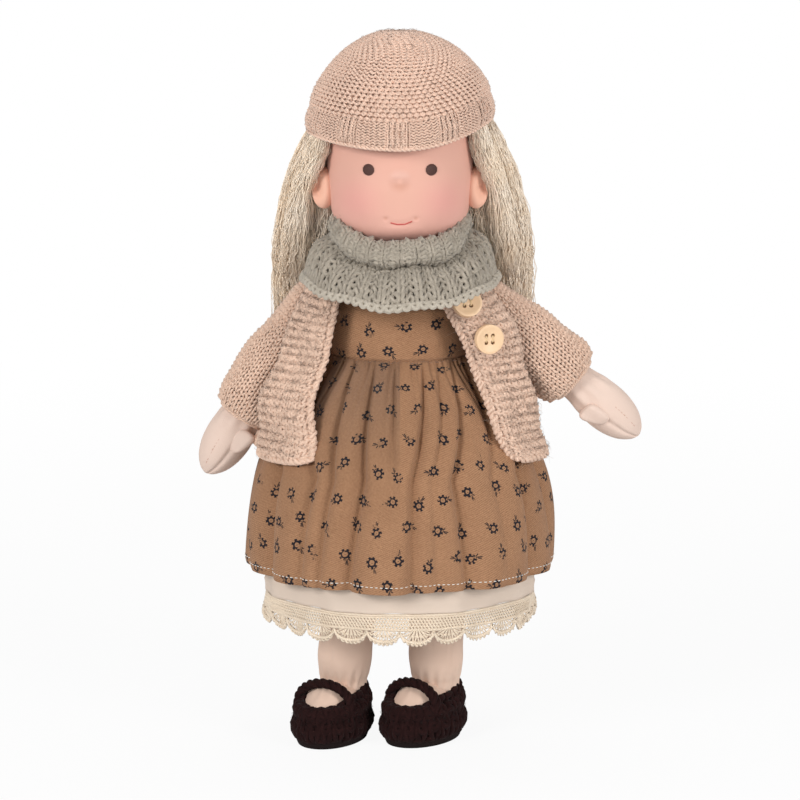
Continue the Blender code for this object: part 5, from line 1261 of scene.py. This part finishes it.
mouth_thread = Finish("mouth_thread", 0.6).colour((0.560, 0.120, 0.105))
s = np.linspace(0.0, 1.0, 9)
mouth_knots = np.array([(-0.0038, 0.2234), (-0.0010, 0.2227), (0.0020, 0.2228), (0.0049, 0.2240)])
mouth_parts = []
for (x0, z0), (x1, z1) in zip(mouth_knots, mouth_knots[1:]):
    for shift in (-0.00012, 0.00012):
        path = on_face(x0 + (x1 - x0) * s, z0 + (z1 - z0) * s + shift,
            0.00012 + 0.00012 * np.sin(math.pi * s))
        mouth_parts.append(tube(path[None], 0.00018, (0.0, 0.0, 1.0), 6))
assemble("mouth_stitches", mouth_parts, mouth_thread, "head_group", "head")

# Eyes: round satin stitch in dark brown floss, laid upright over a small pad.
eye_floss = Finish("eye_floss", 0.5).colour((0.105, 0.052, 0.044))
for name, side in (("eye_right", -1), ("eye_left", 1)):
    lanes = np.linspace(-0.92, 0.92, 13)[:, None]
    s = np.linspace(-1.0, 1.0, 15)[None]
    half = np.sqrt(1.0 - lanes**2) * (1.0 + 0.03 * np.sin(lanes * 23.0))
    across = side * 0.0127 + 0.0023 * lanes + 0.0 * s
    height = 0.2448 + 0.0023 * half * s
    dome = 0.00075 * np.sqrt(np.maximum(1.0 - (lanes**2 + (half * s) ** 2) * 0.96, 0.0))
    floss = tube(on_face(across, height, dome), 0.00020, (1.0, 0.0, 0.0), 6)
    assemble(name + "_satin", [floss], eye_floss, "head_group", name, name)

# Ears: small stuffed ovals of the same jersey, each pressed in at the front and sewn to the side of the head.
# The ears take a lighter, warmer copy of the face's jersey: painted light, making up for the shadow that the
# temple locks cast on them.
ear_jersey = jersey_finish("ear_jersey", (0.860, 0.500, 0.370), (0.790, 0.420, 0.300))
for name, side in (("ear_right", -1), ("ear_left", 1)):
    bpy.ops.object.select_all(action="DESELECT")
    bpy.ops.mesh.primitive_uv_sphere_add(segments=48, ring_count=32, radius=1.0)
    ear = bpy.context.object
    ear.name = name + "_skin"
    shape = np.array([vertex.co for vertex in ear.data.vertices])
    hollow = np.exp(-(((shape[:, 0] * side - 0.45) / 0.42) ** 2 + ((shape[:, 2] - 0.05) / 0.50) ** 2))
    hollow *= smooth_share(-shape[:, 1], 0.0, 0.6)
    shape[:, 1] += 0.85 * hollow
    shape *= (0.0052, 0.0058, 0.0087)
    shape += middle + (side * 0.0314, -0.0060, head_foot + 0.0235)
    ear.data.vertices.foreach_set("co", shape.astype(np.float32).ravel())
    bpy.ops.object.shade_smooth()
    ear.data.materials.append(ear_jersey.material)
    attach(ear, "head_group")
    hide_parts(name)


# Hair: crinkled blond mohair. A sewn cap covers the scalp, and locks hang at both sides and down the back,
# each a soft core under many loose strands.
mohair = Finish("mohair", 0.6, 0.05)
hair_mix = mohair.noise(75.0, 3.0)
mohair.colour(mohair.blend(hair_mix * 1.1 - 0.2, (0.990, 0.880, 0.755), (0.970, 0.765, 0.545)))
mohair_core = Finish("mohair_core", 0.8)
core_x, core_y, core_z = mohair_core.split(mohair_core.place)
stretch = mohair_core.node("ShaderNodeCombineXYZ", {}, {"X": core_x, "Y": core_y, "Z": core_z * 0.06})
core_mix = mohair_core.noise(900.0, 3.0, stretch)
mohair_core.colour(mohair_core.blend(core_mix, (0.975, 0.825, 0.640), (0.930, 0.715, 0.465)))
mohair_core.bump(core_mix, 0.0004)


def lock(rows, count, seed, crimp=0.0014, stray=0.16, flat=False):
    """Strands down a lock, from rows of height, place across and along, and half width and depth."""
    rng = np.random.default_rng(seed)
    fine = smooth_rows(rows, 120)
    share = np.linspace(0.0, 1.0, 120)
    steps = 17
    start = rng.random(count) * 0.05
    stop = np.clip(rng.normal(0.975, 0.045, count), 0.75, 1.03)
    s = start[:, None] + (stop - start)[:, None] * np.linspace(0.0, 1.0, steps)
    z, x, y, wide, deep = (np.interp(np.clip(s, 0.0, 1.0), share, fine[:, i]) for i in range(5))
    z = z - (s - 1.0).clip(0.0) * 0.05
    way = rng.random(count)[:, None] * math.tau
    if flat:
        spread = np.arcsin(rng.uniform(-1.0, 1.0, (count, 1)))
        way = np.where(rng.random((count, 1)) < 0.8, math.pi - spread, spread)
    out = np.sqrt(0.25 + 0.75 * rng.random(count))[:, None]
    out = out + (rng.random(count) < stray)[:, None] * 0.22 * rng.random(count)[:, None] * s
    drift = rng.normal(0.0, 0.45, count)[:, None] * s + rng.normal(0.0, 0.25,
        count)[:, None] * np.sin(s * 7.0)
    length = (fine[0, 0] - fine[-1, 0])
    waves = length / (0.0075 + 0.0085 * rng.random(count)[:, None] ** 2)
    phase = rng.random((2, count, 1)) * math.tau
    size = crimp * (0.35 + 0.9 * rng.random(count)[:, None]) * (0.5 + 0.5 * s)
    x = x + out * wide * np.sin(way + drift) + size * np.sin(math.tau * waves * s + phase[0])
    y = y - out * deep * np.cos(way + drift) + size * np.sin(math.tau * waves * s * 0.93 + phase[1])
    points = np.stack([x, y, z], 2) + middle
    radius = (0.00012 + 0.00014 * rng.random(count) ** 2)[:, None] * (1.0 - 0.55 * np.clip(s, 0.0, 1.0) ** 4)
    outward = (
        points - np.stack([np.interp(s, share, fine[:, 1]), np.interp(s, share, fine[:, 2]), z], 2) - middle
    )
    return tube(points, radius, outward + np.array([0.0, 1e-5, 0.0]), 3)


def core(rows, grow):
    """The soft core of a lock, which ends above the strands' ends."""
    top = rows[0][0]
    table = [(top - (top - z) * 0.93, wide * grow, deep * grow, x, y) for z, x, y, wide, deep in rows]
    return skin(stuffed(table, 48, 80) + middle)


hair_top, hair_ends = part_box("hair_left")[1].z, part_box("hair_left")[0].z
fall = hair_top - hair_ends
for name, side in (("hair_right", -1), ("hair_left", 1)):
    rows = [(hair_top + 0.002 - fall * down, side * out, back, wide, deep) for down, out, back, wide,
        deep in (
        (0.00, 0.0322, 0.0060, 0.0056, 0.0100), (0.16, 0.0370, 0.0090, 0.0098, 0.0112),
        (0.32, 0.0405, 0.0128, 0.0120, 0.0110), (0.48, 0.0425, 0.0205, 0.0132, 0.0105),
        (0.60, 0.0430, 0.0245, 0.0132, 0.0098), (0.80, 0.0432, 0.0262, 0.0122, 0.0092),
        (1.00, 0.0420, 0.0266, 0.0100, 0.0068),
    )]
    if side < 0:
        rows = [(z, x + 0.0022, back, wide, deep) for z, x, back, wide, deep in rows]
    temple = [(z, side * out, y, wide, deep) for z, out, y, wide, deep in (
        (head_foot + 0.0530, 0.0310, -0.0130, 0.0030, 0.0062),
        (head_foot + 0.0460, 0.0322, -0.0128, 0.0040, 0.0062),
        (head_foot + 0.0390, 0.0338, -0.0118, 0.0048, 0.0062),
        (head_foot + 0.0310, 0.0372, -0.0092, 0.0046, 0.0062),
        (head_foot + 0.0220, 0.0402, -0.0030, 0.0046, 0.0070),
        (head_foot + 0.0080, 0.0420, 0.0030, 0.0058, 0.0080),
        (head_foot - 0.0040, 0.0430, 0.0110, 0.0066, 0.0085),
        (head_foot - 0.0150, 0.0434, 0.0175, 0.0062, 0.0075),
    )]
    nape = [(head_foot + up, side * out, y, wide, deep) for up, out, y, wide, deep in (
        (0.0400, 0.0300, 0.0060, 0.0040, 0.0080), (0.0240, 0.0322, 0.0050, 0.0052, 0.0070),
        (0.0100, 0.0332, 0.0060, 0.0060, 0.0065), (-0.0040, 0.0345, 0.0110, 0.0066, 0.0070),
        (-0.0130, 0.0360, 0.0185, 0.0066, 0.0070),
    )]
    inner = assemble(name + "_core", [core(rows, 0.78)], mohair_core, None, name)
    outer = assemble(name + "_strands", [lock(rows, 1050, 20 + side)], mohair, None, name, name)
    inward = assemble(name + "_temple", [lock(temple, 560, 40 + side, 0.0011, 0.3), lock(nape, 360,
        60 + side)],
                      mohair, None, name)
    for piece in (inner, outer, inward):
        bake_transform(piece)

back_top, back_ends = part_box("hair_back")[1].z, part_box("hair_back")[0].z
back_rows = [(z, 0.0, y, wide, deep) for z, y, wide, deep in (
    (back_top + 0.002, 0.0335, 0.0260, 0.0050),
    (0.2425, 0.0365, 0.0330, 0.0062),
    (0.2235, 0.0390, 0.0370, 0.0062),
    (0.2000, 0.0462, 0.0365, 0.0060), (0.1825, 0.0458, 0.0350, 0.0060), (0.1650, 0.0445, 0.0345, 0.0055),
    (back_ends, 0.0425, 0.0340, 0.0048),
)]
side_locks = [lock([(z, side * x, y, wide, deep) for z, x, y, wide, deep in (
    (0.2580, 0.0262, 0.0225, 0.0050, 0.0080), (0.2420, 0.0308, 0.0262, 0.0066, 0.0088),
    (0.2235, 0.0345, 0.0295, 0.0075, 0.0090), (0.2000, 0.0362, 0.0360, 0.0080, 0.0088),
    (0.1825, 0.0364, 0.0378, 0.0080, 0.0085), (0.1650, 0.0354, 0.0374, 0.0075, 0.0080),
    (back_ends + 0.004, 0.0340, 0.0362, 0.0062, 0.0066),
)], 460, 80 + side) for side in (-1, 1)]
inner = assemble("hair_back_core", [core(back_rows, 0.76)], mohair_core, None, "hair_back")
outer = assemble("hair_back_strands", [lock(back_rows, 1100, 33, flat=True)], mohair, None, "hair_back",
    "hair_back")
beside = assemble("hair_back_sides", side_locks, mohair, None, "hair_back")
for piece in (inner, outer, beside):
    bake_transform(piece)


def cap_place(u, v, lift):
    """The scalp, u round from straight ahead and v from the crown down to the hairline."""
    angle = math.tau * u
    line = 0.2325 + 0.0275 * smooth_share(np.cos(angle), -0.40, 0.30)
    top = head_foot + head_height + lift * 0.9
    turn = np.clip(v, 0.0, 1.0)
    z = top - (top - line) * (1.0 - np.cos(turn * math.pi / 2.0)) ** 0.72
    radius = head_radius(np.minimum(z - lift * 0.9, head_foot + head_height - 0.0004)) + lift
    radius = radius * smooth_share(turn, -0.25, 0.25)
    x = radius * np.sin(angle)
    y = -(radius * 0.0341 / 0.0302) * np.cos(angle)
    return head_centre + np.stack([x, y, z], -1)


u_grid, v_grid = np.meshgrid(np.arange(96) / 96, np.linspace(0.02, 1.0, 40))
cap_points = cap_place(u_grid, v_grid, 0.0022)
assemble("hair_cap_core", [cloth(cap_points, 0.0012, True, (0.2, 0.06), head_centre)], mohair_core,
               "head_group", "hair_cap", "hair_cap")
rng = np.random.default_rng(4)
cap_u = rng.random(900)[:, None] + 0.012 * np.sin(np.linspace(0, 9, 10) + rng.random((900, 1)) * 6)
cap_v = (0.25 + 0.4 * rng.random((900, 1))) + (0.36 + 0.04 * rng.random((900, 1))) * np.linspace(0, 1, 10)
cap_strands = cap_place(cap_u, np.minimum(cap_v, 1.0), 0.0024 + 0.0008 * rng.random((900, 1)))
assemble("hair_cap_strands", [tube(cap_strands, 0.00026, cap_strands - head_centre, 3)], mohair,
                    "head_group", "hair_cap")

# Cowl: a chunky sage tube. It rolls over below the chin and its ribbed cape spreads on the shoulders, with a
# paler braid crocheted along the edge.
cowl_seat = shoulder_z + 0.0113
cowl_fine = smooth_rows([
    (0.0396, cowl_seat + 0.0012, 1.0, 0.0, 0.0, 0.0), (0.0386, cowl_seat + 0.0034, 0.85, 0.0, 0.40, 0.2),
    (0.0352, cowl_seat + 0.0056, 0.45, 0.0, 0.85, 0.1), (0.0308, cowl_seat + 0.0072, 0.12, 0.0, 1.0, 0.2),
    (0.0276, cowl_seat + 0.0088, 0.0, 0.05, 0.98, 0.4), (0.0300, cowl_seat + 0.0108, 0.0, 0.15, 0.88, 0.8),
    (0.0326, cowl_seat + 0.0140, 0.0, 0.40, 0.70, 1.0), (0.0330, cowl_seat + 0.0180, 0.0, 0.70, 0.50, 1.0),
    (0.0314, cowl_seat + 0.0220, 0.0, 0.95, 0.30, 0.9), (0.0290, cowl_seat + 0.0242, 0.0, 1.0, 0.15, 0.6),
    (0.0270, cowl_seat + 0.0234, 0.0, 1.0, 0.1, 0.3), (0.0256, cowl_seat + 0.0195, 0.0, 0.8, 0.0, 0.0),
    (0.0242, cowl_seat + 0.0120, 0.0, 0.2, 0.0, 0.0),
], 320)
cowl_walk = np.cumsum(np.linalg.norm(np.diff(cowl_fine[:, :2], axis=0, prepend=cowl_fine[:1, :2]), axis=1))


def cowl_place(u, v):
    """The cowl, u round from straight ahead and v from its edge, over the roll, to the neck."""
    gone = np.clip(v, 0.0, 1.0) * cowl_walk[-1]
    radius, z, droop, dip, rise, draw = (np.interp(gone, cowl_walk, cowl_fine[:, i]) for i in range(6))
    angle = math.tau * u
    rolled = np.clip(dip * 3.0, 0.0, 1.0)
    z = z - 0.0072 * droop * np.cos(angle) ** 2 - 0.0058 * dip * np.maximum(np.cos(angle), 0.0) ** 2
    z = z + 0.0110 * rise * np.sin(angle) ** 4
    radius = radius - 0.0050 * draw * np.sin(angle) ** 4
    z = z + 0.0007 * np.sin(5 * angle + 0.6) * (1.0 - droop) + 0.0006 * np.sin(9 * angle) * (1.0 - rolled)
    radius = radius + 0.0005 * np.sin(7 * angle + 2.0) + 0.0007 * np.sin(4 * angle + 1.0) * rolled
    radius = (
        radius
        + 0.0010 * np.cos(math.tau * 32 * u) * smooth_share(gone, 0.001, 0.004) * (1.0 - 0.75 * rolled)
    )
    x = radius * np.sin(angle)
    y = -radius * 1.08 * np.cos(angle) - 0.0020
    return middle + np.stack([x, y, z], -1)


sage_yarn = yarn_finish("sage_yarn", (0.450, 0.395, 0.322), (0.260, 0.226, 0.180), 0.2)
# Painted shade: the dark sage shell under the cowl's loops stands for the shade between the stitches.
sage_lining = Finish("sage_lining", 0.95).colour((0.130, 0.112, 0.085))
pale_sage = yarn_finish("pale_sage_yarn", (0.520, 0.465, 0.385), (0.370, 0.325, 0.262), 0.2)
wool(
    "cowl", cowl_place, [64] * 22, 0.00102, 0.00115, lambda r, c: -1 if c % 2 == 0 else 1,
    sage_yarn, sage_lining, "body", "cowl", (0.225, 0.048), ["front_right_shell", "front_left_shell",
        "back_shell"],
    inside=middle, fibres=2900, haze=0.0034, seed=12, steps=8, sides=5,
)
t = np.linspace(0.0, 1.0, 900, endpoint=False)
braid_parts = []
for strand in range(3):
    twist = math.tau * (24 * t + strand / 3)
    ring = cowl_place(t, 0.0 * t)
    out = (ring - middle) * (1.0, 1.0, 0.0)
    out /= np.linalg.norm(out, axis=1, keepdims=True)
    ring = ring + out * (0.0005 + 0.0012 * np.sin(twist))[:, None]
    ring[:, 2] += 0.0009 * np.cos(2 * twist) - 0.0002
    braid_parts.append(tube(ring[None], 0.00102, (0.0, 0.0, 1.0), 6, True, 0.006))
assemble("cowl_braid", braid_parts, pale_sage, "body", "cowl")


# Hat: beige wool with its purl side out, decreased to a gathered crown. The brim alternates plain stretches
# with groups of three ribs and rises over the ears.
def brim_foot(angle):
    """The brim's lower edge."""
    ahead = np.cos(angle)
    tilt = 0.0055 * np.maximum(-np.sin(angle), 0.0) ** 2 + 0.0010
    return head_foot + 0.0530 - np.where(ahead > 0, 0.0100, 0.0060) * ahead**2 - tilt


hat_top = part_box("hat_crown")[1].z
hat_fine = smooth_rows([
    (0.00, 0.955), (0.10, 0.945), (0.22, 0.908), (0.38, 0.835), (0.54, 0.740), (0.70, 0.615), (0.83, 0.470),
    (0.92, 0.325), (0.970, 0.200), (0.982, 0.090), (0.965, 0.015),
], 300)
hat_walk = np.cumsum(np.hypot(np.diff(hat_fine[:, 0], prepend=0.0) * 0.027, np.diff(hat_fine[:, 1],
    prepend=0.97) * 0.039))


def hat_place(u, v):
    """The crown, u round from straight ahead and v from the brim to the gathered top."""
    gone = np.clip(v, 0.0, 1.0) * hat_walk[-1]
    rise = np.interp(gone, hat_walk, hat_fine[:, 0])
    size = np.interp(gone, hat_walk, hat_fine[:, 1])
    angle = math.tau * u
    foot = brim_foot(angle) + 0.0104
    slump = 0.012 * np.sin(2 * angle + 0.4) + 0.010 * np.cos(3 * angle + 1.0)
    lumps = 1.0 + slump * smooth_share(rise, 0.1, 0.6)
    z = (
        foot
        + (hat_top - 0.0008 - foot) * rise
        + 0.0007 * np.sin(angle * 3 + 2.0) * size * smooth_share(rise, 0.4, 0.9)
    )
    x = 0.0378 * size * lumps * np.sin(angle) - 0.0008 * rise
    y = -0.0410 * size * lumps * np.cos(angle) - 0.0010
    return middle + np.stack([x, y, z], -1)


hat_yarn = yarn_finish("hat_yarn", (0.860, 0.612, 0.482), (0.690, 0.465, 0.356), 0.2)
# Painted shade: the dark shell under the hat's loops stands for the shade between the stitches.
hat_lining = Finish("hat_lining", 0.95).colour((0.400, 0.235, 0.165))
hat_rows = 33
hat_sizes = np.interp((np.arange(hat_rows) + 0.5) / hat_rows, hat_walk / hat_walk[-1], hat_fine[:, 1])
wool("hat", hat_place, [max(int(90 * s), 8) for s in hat_sizes], 0.00060, 0.00075, lambda r, c: 1, hat_yarn,
     hat_lining, "hat", "hat_crown", (0.240, 0.055), ["hair_cap_core"], fibres=2000, haze=0.0024, area=0.0082,
     seed=2, steps=8, turn=0.0062)


def brim_place(u, v):
    """The brim, u round from straight ahead and v up."""
    v = np.clip(v, 0.0, 1.0)
    angle = math.tau * u
    out = 0.0006 * np.sin(math.pi * v) - 0.0006 * np.exp(-v / 0.10) - 0.0022 * v**2
    column = ((u * 11.0 + 0.5) % 1.0 - 0.5) * 10.0
    ribs = np.clip(2.2 - np.abs(column), 0.0, 0.5) * 2.0 * np.cos(math.tau * column)
    out = out + 0.0007 * ribs * np.sin(math.pi * v) ** 0.4
    z = brim_foot(angle) + 0.0004 + 0.0108 * v
    x = (0.0380 + out) * np.sin(angle)
    y = -(0.0412 + out) * np.cos(angle) - 0.0010
    return middle + np.stack([x, y, z], -1)


wool("brim", brim_place, [110] * 10, 0.00046, 0.00060, lambda r, c: -1 if c % 10 in (8, 9, 0, 1) else 1,
    hat_yarn,
     hat_lining, "hat", "hat_brim", (0.250, 0.011), ["hair_cap_core"], fibres=800, haze=0.0022, seed=8,
         steps=8)
t = np.linspace(0.0, 1.0, 1000, endpoint=False)
edge_parts = []
for phase in (0.0, 0.5):
    twist = math.tau * (60 * t + phase)
    ring = brim_place(t, 0.0 * t)
    out = (ring - middle) * (1.0, 1.0, 0.0)
    out /= np.linalg.norm(out, axis=1, keepdims=True)
    ring = ring + out * (0.0003 + 0.0005 * np.sin(twist))[:, None]
    ring[:, 2] += 0.0004 * np.cos(twist)
    edge_parts.append(tube(ring[None], 0.00060, (0.0, 0.0, 1.0), 5, True, 0.004))
assemble("brim_edge", edge_parts, hat_yarn, "hat", "hat_brim")
